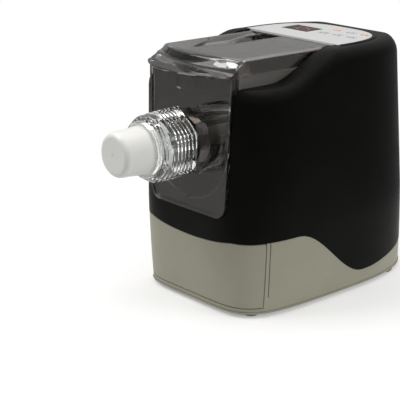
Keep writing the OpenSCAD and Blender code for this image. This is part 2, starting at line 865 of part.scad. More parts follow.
module gearbox_housing() color(gearcase_grey) place() difference() {
    union() {
        along_y(box_y0, box_y1 - 0.1) gearcase_outline(plate_w);
        for (p = boss_spots)
            rod_y(boss_r, bay_d + wall + seat_gap, box_y0 + plate_w, p[0], p[1]);
    }
    along_y(box_y0 + plate_w, box_y1 + 1) gearcase_outline(0);
    rod_y(shaft_r + bush_wall + press_gap, 0, y_rear, 0, axis_h);
    rod_y(rotor_shaft_r + press_gap, 0, y_rear, mid_x, mid_z);
}

module gearbox_cover() color(gearcase_grey) place() along_y(box_y1, cover_y1) difference() {
    gearcase_outline(plate_w);
    translate([0, axis_h]) circle(r = shaft_r + bush_wall + press_gap);
    translate([mid_x, mid_z]) circle(r = rotor_shaft_r + press_gap);
    translate([0, motor_z]) circle(r = fast_m * motor_teeth / 2 + 5.25);
}

module layshaft_pin() color(steel) place()
    rod_y(rotor_shaft_r, box_y0, cover_y1, mid_x, mid_z);

module shaft_bushes() color([0.72, 0.55, 0.3]) place()
    for (y = [box_y0 - 1, box_y1 - 2]) difference() {
        rod_y(shaft_r + bush_wall, y, y + bush_l, 0, axis_h);
        rod_y(shaft_r + run_gap, y - 1, y + bush_l + 1, 0, axis_h);
    }

module shaft_seal() color(rubber) place() difference() {
    rod_y(seal_r - 0.1, bin_y1 + 0.1, bin_y1 + neck_l, 0, axis_h);
    rod_y(shaft_r + run_gap, 0, bay_d + 10, 0, axis_h);
}

hub_r = 11;
hub_y1 = bin_y1 - bin_wall - 1;
hex_r = 5.6;
hex_l = 50;
module drive_shaft() color(steel) place() {
    rod_y(shaft_r, bin_y1 - bin_wall, box_y1 + 3, 0, axis_h);
    rod_y(hex_r, hub_y1 - hex_l, bin_y1, 0, axis_h, 6);
}

// Hub with two looped arms and two straight arms between them
arm_r = bin_r - 8;
arm_half = 3;
arm_w = 8;
loop_y0 = auger_y1 + 16;
loop_y1 = hub_y1 - 10;
module mixing_paddle() color(white) place() difference() {
    translate([0, 0, axis_h]) {
        rod_y(hub_r, auger_y1 + 0.1, hub_y1);
        for (s = [-1, 1]) {
            for (y = [loop_y0, loop_y1 - arm_w])
                box(min(s * 8, s * arm_r), max(s * 8, s * arm_r), y, y + arm_w, -arm_half, arm_half);
            box(min(s * (arm_r - arm_w), s * arm_r), max(s * (arm_r - arm_w), s * arm_r),
                loop_y0, loop_y1, -arm_half, arm_half);
        }
        for (s = [-1, 1])
            box(-arm_half, arm_half, y_blade(s) - 5, y_blade(s) + 5,
                min(s * 8, s * arm_r), max(s * 8, s * arm_r));
    }
    rod_y(hex_r + 0.15, hub_y1 - hex_l - 0.5, hub_y1 + 1, 0, axis_h, 6);
}
function y_blade(s) = (auger_y1 + hub_y1) / 2 + 16 * s;

module auger_screw() color(white) place() {
    length = auger_y1 - auger_y0;
    translate([0, auger_y1, axis_h]) rotate([90, 0, 0])
        linear_extrude(length, twist = 360 * length / auger_pitch, slices = 66, segments = 0) polygon(concat(
            [for (a = [-auger_flight / 2, 0, auger_flight / 2]) polar(auger_r, a)],
            [for (a = [auger_flight / 2 + 30 : 33 : 360 - auger_flight / 2 - 30])
                polar(auger_core_r, a)]
        ));
}

// ---- Motor ----

module motor_stator() color([0.45, 0.42, 0.4]) place() difference() {
    rod_y(motor_r, stator_y0, stator_y1, 0, motor_z);
    rod_y(rotor_bore, 0, y_rear, 0, motor_z);
}

shield_hole_r = 6;
shield_hole_ring = 26.7;
module motor_shield(y0, y1) {
    difference() {
        rod_y(motor_r, y0, y1, 0, motor_z);
        rod_y(rotor_shaft_r + run_gap, 0, y_rear, 0, motor_z);
        for (a = [0 : 60 : 300])
            translate([0, 0, motor_z]) rotate([0, a, 0])
                rod_y(shield_hole_r, 0, y_rear, shield_hole_ring, 0);
    }
}

module motor_front_shield() color(steel) place() motor_shield(cover_y1 + 0.1, stator_y0);
module motor_rear_shield() color(steel) place() motor_shield(stator_y1, stator_y1 + shield_t);

module rotor_core() color([0.75, 0.45, 0.25]) place() difference() {
    rod_y(rotor_bore - 0.5, stator_y0 + 3, stator_y1 - 3, 0, motor_z);
    rod_y(rotor_shaft_r, 0, y_rear, 0, motor_z);
}

module rotor_shaft() color(steel) place()
    rod_y(rotor_shaft_r, fast_y0 - 2, fan_y0 + fan_l + 2, 0, motor_z);

fan_blades = 9;
fan_hub_r = 9;
fan_disc_t = 1.6;
blade_t = 1.6;
module cooling_fan() color([0.2, 0.2, 0.2]) place() difference() {
    union() {
        rod_y(fan_hub_r, fan_y0, fan_y0 + fan_l, 0, motor_z);
        rod_y(fan_r, fan_y0, fan_y0 + fan_disc_t, 0, motor_z);
        for (i = [0 : fan_blades - 1])
            translate([0, 0, motor_z]) rotate([0, 360 * i / fan_blades, 0])
                box(fan_hub_r - 2, fan_r - 0.5, fan_y0 + 1, fan_y0 + fan_l, -blade_t / 2, blade_t / 2);
    }
    rod_y(rotor_shaft_r, 0, y_rear, 0, motor_z);
}

cradle_l = 12;
cradle_foot = motor_r + 21;
cradle_top = motor_r + 7;
cradle_arch = motor_r + 5;
module motor_cradle() color(steel) place() {
    y0 = stator_y0 + (stator_l - cradle_l) / 2;
    along_y(y0, y0 + cradle_l) difference() {
        polygon([
            [-cradle_foot, plate_top], [cradle_foot, plate_top], [cradle_top, motor_z], [-cradle_top, motor_z]
        ]);
        translate([0, motor_z]) circle(r = motor_r + 0.2);
        translate([-cradle_arch, plate_top - 1])
            square([2 * cradle_arch, motor_z - motor_r - plate_top - 4]);
    }
}

power_half = 44;
power_l = 78;
power_lift = 6;        // height of the board's posts on the base plate
choke_h = 24.5;
capacitor_r = 6;
capacitor_h = 22;
module power_board() color(board_green) place() {
    y0 = stator_y0 + 4;
    z0 = plate_top + power_lift;
    box(-power_half, power_half, y0, y0 + power_l, z0, z0 + board_t);
    box(4 - power_half, -10, y0 + 42, y0 + power_l - 4, z0 + board_t - 0.1, z0 + board_t + choke_h);
    for (x = [2, 18, 34])
        translate([x, y0 + 60, z0 + board_t - 0.1]) cylinder(r = capacitor_r, h = capacitor_h);
    for (x = [4 - power_half, power_half - 4]) for (y = [y0 + 4, y0 + power_l - 4])
        translate([x, y, plate_top]) cylinder(r = post_r, h = power_lift + 0.1);
}

// ---- Lid ----

function lid_half_at(z) =
    lid_half + (lid_foot_half - lid_half) * min(1, max(0, (lid_top - z) / skirt_h));
function bow(t) = 1 - sqrt(max(0, 1 - t * t));
function past(x, start, span) = max(0, x - start) / span;
// Half-section of the lid at distance x from its middle, measured along its top edge
function lid_front(x) = nose_y + nose_bow * pow(x / lid_half, nose_power);
function lid_crown(x) = lid_top - lid_edge * bow(past(x, lid_half - lid_edge, lid_edge));
function fold_at(x) = [fold_y + fold_bow * pow(x / lid_half, 2), fold_z + fold_lift * pow(x / lid_half, 2)];
function lip_at(x) = (lip_reach - lip_side) * pow(x / lid_half, lip_power) - lip_reach;
function lid_outside(x) =
    let (front = lid_front(x), top = lid_crown(x), fold = fold_at(x), tip = lip_at(x))
    [
        [lid_y1, lid_foot], [lid_y1, top - 5], [lid_y1 - 1.4, top - 1.4], [lid_y1 - 5, top],
        each [for (a = [90 : -22.5 : 0])
            [front + nose_round * (1 - cos(a)), top - 0.7 * nose_round * (1 - sin(a))]],
        [fold[0] + 1.4, fold[1] + 3], [fold[0] - 0.8, fold[1] + 0.4],
        [(fold[0] + tip) / 2, (fold[1] + lip_z) / 2 - 0.5], [tip + 3, lip_z],
        [tip + 0.6, lip_z - 0.4], [tip, lip_z - 1.5], [tip + 1.4, lid_foot]
    ];
function lid_inside(x) =
    let (front = lid_front(x) + wall, top = lid_crown(x) - wall, fold = fold_at(x))
    [
        [lid_y1 - wall, lid_foot - 1], [lid_y1 - wall, top - 3.5], [lid_y1 - 5, top],
        [front + nose_round, top], [front + 1.2, top - 1.4], [front + 0.2, top - 3.6],
        [fold[0] + wall + 0.6, fold[1] + 1],
        [fold[0] + wall, lid_foot - 1]
    ];
lid_stops = concat(
    [for (i = [0 : 8]) (lid_half - lid_edge) * i / 9],
    [for (a = [0 : 30 : 90]) lid_half - lid_edge + lid_edge * sin(a)]
);
module lid_skin(inner) {
    n = len(lid_stops);
    shrink = inner ? wall : 0;
    skin([
        for (i = [1 - n : n - 1])
            let (x = lid_stops[abs(i)])
            [for (p = inner ? lid_inside(x) : lid_outside(x))
                [sign(i) * x * (lid_half_at(p[1]) - shrink) / lid_half, p[0], p[1]]]
    ]);
}

// Liquid ramp: it starts level at the lid's left edge and falls to the right, where a
// tapered spout leads down into the bin
function unit(v) = v / norm(v);
function outset(p, g) = [
    for (i = [0 : len(p) - 1])
        let (
            u = unit(p[i] - p[(i + len(p) - 1) % len(p)]),
            v = unit(p[(i + 1) % len(p)] - p[i]),
            n1 = [u[1], -u[0]],
            n2 = [v[1], -v[0]]
        )
        p[i] + (n1 + n2) * g / (1 + n1 * n2)
];
ramp_left = -lid_half + 6;
ramp_right = -11;
ramp_y1 = lid_y1 - 6;
ramp_depth = 13.6;
ramp_outline = [
    [-26, 26], [ramp_right, 83], [ramp_right, ramp_y1], [ramp_left, ramp_y1], [ramp_left, 80]
];
spout_top = [[ramp_right - 2.5, 87], [ramp_right - 2.5, ramp_y1 - 0.8], [-55, ramp_y1 - 0.8], [-44, 95]];
spout_foot = [[ramp_right - 2.5, 102], [ramp_right - 2.5, ramp_y1 - 0.8], [-38, ramp_y1 - 0.8], [-32, 110]];
module ramp_block(grow, below) {
    fall = ramp_depth / (ramp_right - ramp_left);
    outline = outset(ramp_outline, grow);
    skin([
        [for (p = outline) [p[0], p[1], lid_top - below - fall * (p[0] - ramp_left)]],
        [for (p = outline) [p[0], p[1], lid_top + 1]]
    ]);
}
module spout_block(grow, z0, z1) {
    rings = [[for (p = outset(spout_foot, grow)) [p[0], p[1], z0]],
             [for (p = outset(spout_top, grow)) [p[0], p[1], z1]]];
    skin(rings);
}

knuckle_l = 4;
knuckle_r = 4.6;
module lid() color(smoke) place() difference() {
    union() {
        difference() {
            lid_skin(false);
            lid_skin(true);
        }
        intersection() {
            lid_skin(false);
            union() {
                ramp_block(wall, wall);
                spout_block(wall, lid_foot, lid_top - 3);
            }
        }
        for (s = [-1, 1]) translate([s * (lid_half - knuckle_l / 2 - 0.2), 0, 0])
            translate([0, hinge_y, hinge_z])
                along_x(-knuckle_l / 2, knuckle_l / 2) circle(r = knuckle_r);
        box(latch_x - tongue_half, latch_x + tongue_half, tongue_y, tongue_y + tongue_t,
            tongue_z, lid_top - 1);
    }
    ramp_block(0, 0);
    spout_block(0, lid_foot - 1, lid_top - 3);
    box(-body_w, body_w, hinge_y - 0.5, bay_d, lid_foot - 10, hinge_z - 9);
    for (s = [-1, 1]) translate([s * (lid_half + 0.3 + body_w / 2), 0, 0])
        box(-body_w / 2, body_w / 2, hinge_y - 7, bay_d, lid_foot - 10, lid_top + 5);
    translate([0, hinge_y, hinge_z]) for (s = [-1, 1]) translate([s * lid_half, 0, 0])
        along_x(-knuckle_l - 1, knuckle_l) circle(r = pin_r + press_gap);
}

pin_l = 8.5;
module hinge_pins() color(steel) place()
    for (s = [-1, 1]) translate([s * (ear_x1 - 0.2 - pin_l / 2), hinge_y, hinge_z])
        along_x(-pin_l / 2, pin_l / 2) circle(r = pin_r);

// ---- Front panel and nozzle ----

module front_panel() color(smoke) place() difference() {
    union() {
        intersection() {
            along_y(-50, 50) bay_outline(slide_gap, panel_top);
            panel_slab(0, panel_t);
        }
        intersection() {
            along_y(-50, 50) difference() {
                bay_outline(slide_gap, panel_top);
                bay_outline(slide_gap + panel_rim, panel_top + 1);
            }
            panel_slab(-panel_rim_h, panel_t / 2);
        }
        turned_y([
            [0, -barrel_l], [barrel_wall_r, -barrel_l], [barrel_wall_r, nut_y1],
            [barrel_r, nut_y1 + 1], [barrel_r + 1, -flare_l], [barrel_r + flare_w, 0], [0, 0]
        ]);
        turned_y([[0, -barrel_l + 2], [barrel_r, -barrel_l + 3], [barrel_r, nut_y1 + 1], [0, nut_y1 + 1]]);
        for (s = [-1, 1])
            translate([latch_x + s * (guide_half + guide_t / 2), 0, 0])
                box(-guide_t / 2, guide_t / 2, panel_t - 2, guide_y1, guide_z0, panel_top - 5);
        box(latch_x - guide_half - 0.1, latch_x + guide_half + 0.1, panel_t - 2, guide_y1,
            guide_z0, guide_z0 + guide_t);
    }
    rod_y(barrel_bore_r, -barrel_l - 1, 20, 0, axis_h);
}

module panel_gasket() color([0.75, 0.76, 0.76]) place() intersection() {
    panel_slab(panel_t, panel_t + gasket_t);
    difference() {
        bin_channel(bin_half, -30, 30, panel_top);
        bin_channel(bin_r + 0.5, -31, 31, panel_top + 1);
    }
}

module extrusion_die() color(white) place() difference() {
    union() {
        turned_y([[0, die_seat], [flange_r, die_seat], [flange_r, die_face], [0, die_face]]);
        translate([0, 0, axis_h]) rotate([-90, 0, 0]) rotate_extrude() union() {
            polygon([
                [0, die_face + 1], [die_r, die_face + 1], [die_end_r, die_end + die_end_round],
                [die_end_r - die_end_round, die_end], [0, die_end]
            ]);
            intersection() {
                translate([die_end_r - die_end_round, die_end + die_end_round])
                    circle(r = die_end_round);
                translate([0, die_end - 1]) square([die_end_r, die_end_round + 1]);
            }
        }
    }
    rod_y(die_bore, die_end + 5, die_seat + 1, 0, axis_h);
    for (i = [0 : die_slots - 1])
        box(-slot_l / 2, slot_l / 2, die_end + 9 + slot_pitch * i, die_end + 9 + slot_pitch * i + slot_w,
            axis_h - die_r - 5, axis_h - 5);
}

module ring_nut() color(clear) place() difference() {
    intersection() {
        translate([0, 0, axis_h]) rotate([0, -nut_turn, 0]) rod_y(nut_r, nut_y0, nut_y1, 0, 0, 6);
        turned_y(concat(
            [[0, nut_y1], [nut_full, nut_y1]],
            [for (t = [0, 0.22, 0.38, 0.53, 0.67, 0.8, 0.9, 0.96, 1]) [
                nut_lip_r + (nut_full - nut_lip_r) * pow(1 - pow(t, 1.3), 0.75),
                nut_dome_y - (nut_dome_y - nut_y0) * t
            ]],
            [[0, nut_y0]]
        ));
    }
    rod_y(barrel_r + joint_gap, die_face - joint_gap, 0, 0, axis_h);
    rod_y(die_r + joint_gap, nut_y0 - 1, die_face, 0, axis_h);
}

// ---- Drawer ----

module drawer_front() color(base_grey) place() difference() {
    base_body(joint_gap + drawer_gap);
    difference() {
        base_skin(wall + 0.5, sill_h + wall, base_h + 13, 9, 2);
        box(-body_w, body_w, wrap_y - bulk_t, wrap_y + 1, 0, body_h);
    }
    box(-body_w, body_w, y_front - body_w, y_rear + body_w, -1, sill_h);
    box(-body_w, body_w, wrap_y, y_rear + body_w, -1, body_h);
    // Rounded corner where the side's top edge meets the seam
    along_x(-body_w, body_w) translate([wrap_y - drawer_corner, drawer_side_top - drawer_corner])
        difference() {
            square(2 * drawer_corner);
            circle(r = drawer_corner);
        }
}

module drawer_tray() color([0.3, 0.3, 0.3]) place() difference() {
    box(-drawer_w / 2, drawer_w / 2, tray_y0, tray_y0 + tray_l, tray_z0, tray_z0 + tray_h);
    box(-drawer_w / 2 + tray_wall, drawer_w / 2 - tray_wall, tray_y0 + tray_wall,
        tray_y0 + tray_l - tray_wall, tray_z0 + tray_wall, tray_z0 + tray_h + 1);
}

module drawer_rails() color(rubber) place()
    for (s = [-1, 1]) {
        y0 = wrap_y + drawer_gap + bulk_t + 1;
        y1 = tray_y0 + tray_l + 4;
        x0 = drawer_w / 2 + 0.6;
        box(min(s * x0, s * (x0 + 2)), max(s * x0, s * (x0 + 2)), y0, y1, plate_top, tray_z0 + 20);
        box(min(s * (x0 - 12), s * x0), max(s * (x0 - 12), s * x0), y0, y1, plate_top, tray_z0 - 0.2);
    }

upper_shell();
base_shell();
base_plate();
rubber_feet();
rear_cover();
power_inlet();
mixing_bin();
hinge_brackets();
control_panel();
display_window();
control_board();
lid_switch();
gearbox_housing();
gearbox_cover();
layshaft_pin();
shaft_bushes();
shaft_seal();
motor_stator();
motor_front_shield();
motor_rear_shield();
motor_cradle();
power_board();
drawer_rails();
case_screws();
lid();
hinge_pins();
front_panel();
panel_gasket();
extrusion_die();
ring_nut();
auger_screw();
mixing_paddle();
drive_shaft();
output_gear();
intermediate_gear();
rotor_core();
rotor_shaft();
motor_pinion();
cooling_fan();
drawer_front();
drawer_tray();
key_power();
key_program();
key_start();
key_down();
key_up();
key_pause();
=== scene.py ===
import json
import math

import bpy
from bpy.props import FloatProperty, FloatVectorProperty, IntProperty, PointerProperty
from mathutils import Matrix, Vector


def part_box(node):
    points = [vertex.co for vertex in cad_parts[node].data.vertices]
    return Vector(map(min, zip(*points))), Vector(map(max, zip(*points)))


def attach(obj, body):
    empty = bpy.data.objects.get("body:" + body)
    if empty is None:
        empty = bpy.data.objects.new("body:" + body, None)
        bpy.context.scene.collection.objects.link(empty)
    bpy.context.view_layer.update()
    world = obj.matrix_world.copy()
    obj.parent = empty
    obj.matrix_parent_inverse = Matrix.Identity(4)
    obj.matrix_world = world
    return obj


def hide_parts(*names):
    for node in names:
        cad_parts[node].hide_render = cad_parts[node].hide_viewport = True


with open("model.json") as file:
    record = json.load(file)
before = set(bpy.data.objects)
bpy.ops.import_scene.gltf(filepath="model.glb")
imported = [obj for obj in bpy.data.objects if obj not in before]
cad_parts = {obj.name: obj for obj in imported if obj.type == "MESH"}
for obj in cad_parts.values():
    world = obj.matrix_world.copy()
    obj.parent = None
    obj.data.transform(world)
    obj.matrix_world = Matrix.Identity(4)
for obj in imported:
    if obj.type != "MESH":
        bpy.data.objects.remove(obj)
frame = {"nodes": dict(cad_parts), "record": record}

bl_info = {
    "name": "Pasta maker finishes",
    "version": (1, 0, 0),
    "blender": (4, 5, 0),
    "location": "3D View > Sidebar > Pasta maker",
    "description": "Finishes, fine parts and studio for an electric pasta maker",
    "category": "Object",
}

MM = 0.001
SLOTS = {row["node"]: row["material_slot"] for row in frame["record"]["subparts"]}
BODIES = {node: body
          for body, nodes in frame["record"]["behaviour"]["bodies"].items()
          for node in nodes}

# Rounding of each node's edges, in millimetres, where no property sets it
EDGES = {"lid": 0.35, "front_panel": 0.35, "mixing_bin": 0.4, "panel_gasket": 0.2, "hinge_pins": 0.4,
         "ring_nut": 0.6, "mixing_paddle": 1.2, "auger_screw": 0.6, "drive_shaft": 0.4,
         "control_panel": 0.5, "display_window": 0.3, "power_inlet": 0.5, "case_screws": 0.3}
KEY_EDGE = 0.6
WELD = 0.002  # corners of a node closer than this become one
THREAD_WELD = 0.001
FLAT = 0.5  # triangles within so many degrees of one plane are joined
SHARP = 50  # curved pieces have only their edges above so many degrees rounded

# Barrel, nut and die, in millimetres
BARREL_R = 31.0
NUT_GAP = 0.3  # between the barrel and the nut's bore
THREAD_L = 30.0
THREAD_TURNS = 6
FLANK = 0.44  # half the width of a thread's groove, as a share of its pitch
BARREL_PROUD = 0.4  # how far the barrel's cutter stands out of the wall it cuts
BORE_PROUD = 0.5  # the same for the nut's cutter
NUT_GROOVES = ((2.1, 32.4), (5.5, 34.7), (8.7, 36.4))  # distance behind the nut's front, radius
GROOVE_R = 0.8
DIE_MARK_R = 2.2
DIE_MARK_L = 1.2

# Where the smoked mouldings change their finish, in millimetres
# The lid's front and the barrel's root get the darker smoke: partly their thick wall, partly painted shade
VISOR_L = 39.2  # the lid's thick front, from its tip back
RIM_BAND = 19.5  # the bin's frosted band, from its top down
ROOT_FRONT = 2.0  # the barrel's thick root starts this far ahead of the nut's rear
ROOT_REAR = 9.0  # and ends this far ahead of the panel's rear
ROOT_R = 45.0

# Control panel, in millimetres
FASCIA_POWER = 3  # 2 is an ellipse, more is squarer
BEAD_RISE = 0.6
BEAD_LAP = 0.5  # how far the bead reaches past the panel's outline
BEAD_SINK = 0.05
BEAD_T = 1.2
KEY_PAD = (12.5, 7.0)
KEY_CAP = 0.7  # height of a key's top with its rounded edge

# Signs on the keys, in millimetres
RING_SIDES = 40
POWER_R = 2.4
POWER_GAP = 1.1  # half the opening in the power ring
STEM_UP = 1.6
STEM_L = 2.2
START_R = 2.6
ARROW_R = 2.4
PAUSE_OFF = 1.2
PAUSE_L = 4.2
PAUSE_STROKE = 1.3  # share of the stroke property, as are LINE_STROKE and DASH_STROKE
LINES_UP = (-1.6, 0, 1.6)
LINE_L = 5.0
LINE_STROKE = 0.9
BAR_ROUND = 0.35  # rounding of a bar's ends, as a share of its width
ARROW_ROUND = 0.12  # the same for an arrow, as a share of its radius

# Other print, in millimetres
DASH_L = 7.0
DASH_STROKE = 0.8
DASH_OFF = 8.2  # from a key's middle to the dash behind it
FIGURES = ((-11, "1"), (0, "2"), (11, "5"))  # place from the display's middle, figure
FIGURE_H = 15.0
FIGURE_STROKE = 1.3
SEGMENTS = {"1": "bc", "2": "abged", "5": "afgcd"}
KEYS = {"power": "ink_orange", "program": "ink_grey", "start": "ink_orange", "down": "ink_grey",
        "up": "ink_grey", "pause": "ink_grey"}

# Back, in millimetres
CONTACTS = ((-7, -1), (0, 3), (7, -1))  # across and up from the inlet's middle
CONTACT_SIZE = (2.3, 15.0, 4.3)
CONTACT_IN = 11.7  # from the inlet's face to a contact's middle
SCREW_R = 3.4
SCREW_H = 1.6
SCREW_PROUD = 0.2
SCREW_EDGE = 0.6
SCREW_SLOT = (0.9, 1.4, 3.8)
SLOT_OUT = 0.9  # from the screw's middle to the slot's
SCREW_INSET = 7.0

# Patterns
NOISE_LOW = 0.3  # most of a noise texture lies between these
NOISE_HIGH = 0.7
STACK_LINE = math.pi  # distance of the drawn lamination lines, in millimetres
WAVE_BANDS = 10 / math.pi  # bands that the wave texture draws in one unit

# Studio, in metres
CAMERA_PLACE = (1.0987, -1.0157015, 0.5597)
CAMERA_TARGET = (0.05255, -0.1286315, 0.14028)
VIEW_END = 20
LAMPS = {"key_lamp": ((-0.7, -0.9, 1.3), (0, 0, 0.12), (0.9, 0.9)),  # place, target, size
         "side_lamp": ((1.5, 0.7, 0.5), (0, 0.05, 0.08), (0.8, 0.8)),
         "top_lamp": ((0.1, 0.3, 1.5), (0, 0, 0.1), (1.2, 0.8))}
TOP_SHARE = 0.45  # the top lamp's power as a share of the key lamp's
FLOOR_SIZE = 12
FLOOR_LIFT = 0.3  # glow that keeps the paper near white
FADE_START = 0.3  # from here on the paper fades to plain white
FADE_END = 0.62
CARD_HOLE = 0.42  # inner radius of the cards' floor ring
CARD_FOOT = 0.01
CARD_R = 2.4  # radius of their wall
CARD_TOP = 1.25
STRIP_PLACE = (-0.55, -0.72, 1.17)
STRIP_SIZE = (0.9, 0.17)
STRIP_TURN = 63  # degrees from X


# ---- Colour and node helpers ----

def srgb(code):
    """A hex colour such as "#96928A" in linear values, with an alpha of 1."""
    parts = [int(code[i:i + 2], 16) / 255 for i in (1, 3, 5)]
    return tuple(p / 12.92 if p <= 0.04045 else ((p + 0.055) / 1.055) ** 2.4 for p in parts) + (1.0,)


def per_mm(size):
    """The texture scale at which one cell of a pattern is size millimetres across."""
    return 1 / (size * MM)


def add_node(tree, kind, inputs=None, **settings):
    """Adds a node, makes its settings, and links or sets its inputs."""
    node = tree.nodes.new(kind)
    for name, value in settings.items():
        setattr(node, name, value)
    for key, value in (inputs or {}).items():
        if isinstance(value, bpy.types.NodeSocket):
            tree.links.new(value, node.inputs[key])
        else:
            node.inputs[key].default_value = value
    return node


def blank_material(name):
    """A material of that name with no nodes yet; gives the material and its tree."""
    material = bpy.data.materials.new(name)
    material.use_nodes = True
    material.node_tree.nodes.clear()
    return material, material.node_tree


def new_material(name, inputs):
    """A material of that name with one Principled shader; gives the material, tree and shader."""
    material, tree = blank_material(name)
    shader = add_node(tree, "ShaderNodeBsdfPrincipled", inputs)
    add_node(tree, "ShaderNodeOutputMaterial", {"Surface": shader.outputs["BSDF"]})
    return material, tree, shader


def grain(tree, shader, size, height, detail=3.0, stretch=(1, 1, 1)):
    """A fine moulded or ground texture: cells of size mm, raised height mm."""
    place = add_node(tree, "ShaderNodeTexCoord")
    spread = add_node(tree, "ShaderNodeMapping", {"Vector": place.outputs["Object"], "Scale": stretch})
    noise = add_node(tree, "ShaderNodeTexNoise",
                     {"Vector": spread.outputs["Vector"], "Scale": per_mm(size), "Detail": detail})
    bump = add_node(tree, "ShaderNodeBump", {"Height": noise.outputs["Fac"], "Distance": height * MM})
    tree.links.new(bump.outputs["Normal"], shader.inputs["Normal"])


def spread_colour(tree, shader, size, low, high, detail=2.0):
    """Lets the base colour drift between two close colours over size millimetres."""
    place = add_node(tree, "ShaderNodeTexCoord")
    noise = add_node(tree, "ShaderNodeTexNoise",
                     {"Vector": place.outputs["Object"], "Scale": per_mm(size), "Detail": detail})
    ramp = add_node(tree, "ShaderNodeValToRGB", {"Fac": noise.outputs["Fac"]})
    ramp.color_ramp.elements[0].position = NOISE_LOW
    ramp.color_ramp.elements[0].color = srgb(low)
    ramp.color_ramp.elements[1].position = NOISE_HIGH
    ramp.color_ramp.elements[1].color = srgb(high)
    tree.links.new(ramp.outputs["Color"], shader.inputs["Base Color"])


def spread_roughness(tree, shader, size, low, high):
    """Lets the gloss drift between two values over size millimetres, as handling leaves it."""
    place = add_node(tree, "ShaderNodeTexCoord")
    noise = add_node(tree, "ShaderNodeTexNoise",
                     {"Vector": place.outputs["Object"], "Scale": per_mm(size), "Detail": 2.0})
    level = add_node(tree, "ShaderNodeMapRange",
                     {"Value": noise.outputs["Fac"], "From Min": NOISE_LOW, "From Max": NOISE_HIGH,
                      "To Min": low, "To Max": high})
    tree.links.new(level.outputs["Result"], shader.inputs["Roughness"])


# ---- Materials ----
# The real grain of moulded plastic, film, ink and turned metal is 0.02 to 0.2 mm. That is too fine to
# show, so each of these patterns is drawn at 0.25 to 1.4 mm. Slow drifts of colour or gloss, and the
# waves of polished plastics, are as wide as the wear, flow and sink marks they stand for.

def black_abs():
    """ABS moulded against a fine spark-eroded tool: soft sheen, no mirror image."""
    material, tree, shader = new_material("black_abs_moulded", {
        "Base Color": srgb("#0A0A08"), "Roughness": 0.38, "IOR": 1.53, "Specular IOR Level": 0.04})
    spread_colour(tree, shader, 60, "#080807", "#0C0C0A")
    grain(tree, shader, 0.9, 0.012)
    spread_roughness(tree, shader, 25, 0.35, 0.42)
    return material


def grey_abs():
    """Warm grey ABS from the same kind of tool: dry satin skin."""
    material, tree, shader = new_material("grey_abs_satin", {
        "Base Color": srgb("#959484"), "Roughness": 0.5, "IOR": 1.53, "Specular IOR Level": 0.3})
    spread_colour(tree, shader, 45, "#939282", "#979686")
    grain(tree, shader, 0.7, 0.015)
    spread_roughness(tree, shader, 20, 0.46, 0.54)
    return material


def smoked_san():
    """Styrene-acrylonitrile with a smoke dye, polished tool: clear walls, dark where two overlap."""
    material, tree, shader = new_material("smoked_san_polished", {
        "Base Color": srgb("#908B87"), "Roughness": 0.03, "IOR": 1.57, "Transmission Weight": 0.97})
    grain(tree, shader, 35, 0.05, detail=1.0)
    return material


def painted_shade_thick_smoked_san():
    """The same smoked plastic near black: partly the dye of a thick wall, partly painted shade on the lid's
    front and the barrel's root.
    """
    material, tree, shader = new_material("smoked_san_thick", {
        "Base Color": srgb("#3C3835"), "Roughness": 0.05, "IOR": 1.45, "Transmission Weight": 1.0})
    grain(tree, shader, 20, 0.04, detail=1.0)
    return material


def textured_smoked_san():
    """The smoked plastic against a spark-eroded tool: a frosted band that hides what is behind."""
    material, tree, shader = new_material("smoked_san_textured", {
        "Base Color": srgb("#6A6764"), "Roughness": 0.38, "IOR": 1.57, "Transmission Weight": 0.25})
    grain(tree, shader, 0.9, 0.01)
    return material


def clear_polycarbonate():
    """Uncoloured polycarbonate, polished: bright edges and thread lines."""
    material, tree, shader = new_material("clear_polycarbonate", {
        "Base Color": srgb("#F4F6F5"), "Roughness": 0.02, "IOR": 1.58, "Transmission Weight": 1.0})
    grain(tree, shader, 12, 0.03, detail=1.0)
    return material


def white_pom():
    """Natural acetal: milky white that lets a little light in, low gloss."""
    material, tree, shader = new_material("white_acetal", {
        "Base Color": srgb("#ECECE9"), "Roughness": 0.38, "IOR": 1.48,
        "Subsurface Weight": 0.25, "Subsurface Radius": (0.9, 0.9, 0.85), "Subsurface Scale": 0.003})
    spread_roughness(tree, shader, 9, 0.33, 0.43)
    grain(tree, shader, 1.4, 0.008)
    return material


def silver_film():
    """Polyester overlay film with silver-white ink on its back: smooth satin with a faint sparkle."""
    material, tree, shader = new_material("silver_overlay_film", {
        "Base Color": srgb("#CBCCCC"), "Roughness": 0.4, "IOR": 1.5, "Specular IOR Level": 0.3})
    spread_colour(tree, shader, 0.8, "#C6C8C8", "#D0D1D0", detail=4.0)
    grain(tree, shader, 1.1, 0.004)
    return material


def key_film():
    """The same film over a key, a shade darker where fingers press it."""
    material, tree, shader = new_material("key_overlay_film", {
        "Base Color": srgb("#D2D5D9"), "Roughness": 0.4, "IOR": 1.57})
    spread_colour(tree, shader, 6, "#CDD0D4", "#D7DADD")
    grain(tree, shader, 0.8, 0.006)
    return material


def dark_lens():
    """Tinted acrylic over the display: near black with a clean gloss."""
    material, tree, shader = new_material("tinted_acrylic_lens", {
        "Base Color": srgb("#1A1213"), "Roughness": 0.12, "IOR": 1.49, "Specular IOR Level": 0.04})
    spread_colour(tree, shader, 18, "#170F10", "#1F1517")
    grain(tree, shader, 14, 0.01, detail=1.0)
    return material


def screen_ink(name, code):
    """Screen-printed ink: thin, opaque, slightly matt, with the ragged tone of a mesh stencil."""
    material, tree, shader = new_material(name, {
        "Base Color": srgb(code), "Roughness": 0.5, "IOR": 1.5})
    grain(tree, shader, 0.25, 0.004)
    spread_roughness(tree, shader, 2, 0.45, 0.58)
    return material


def silicone():
    """Grey silicone: rubbery, dull, a little see-through at its edges."""
    material, tree, shader = new_material("grey_silicone", {
        "Base Color": srgb("#B9B9B6"), "Roughness": 0.6, "IOR": 1.41,
        "Subsurface Weight": 0.2, "Subsurface Radius": (1.0, 1.0, 1.0), "Subsurface Scale": 0.002})
    spread_roughness(tree, shader, 6, 0.55, 0.68)
    grain(tree, shader, 0.6, 0.01)
    return material


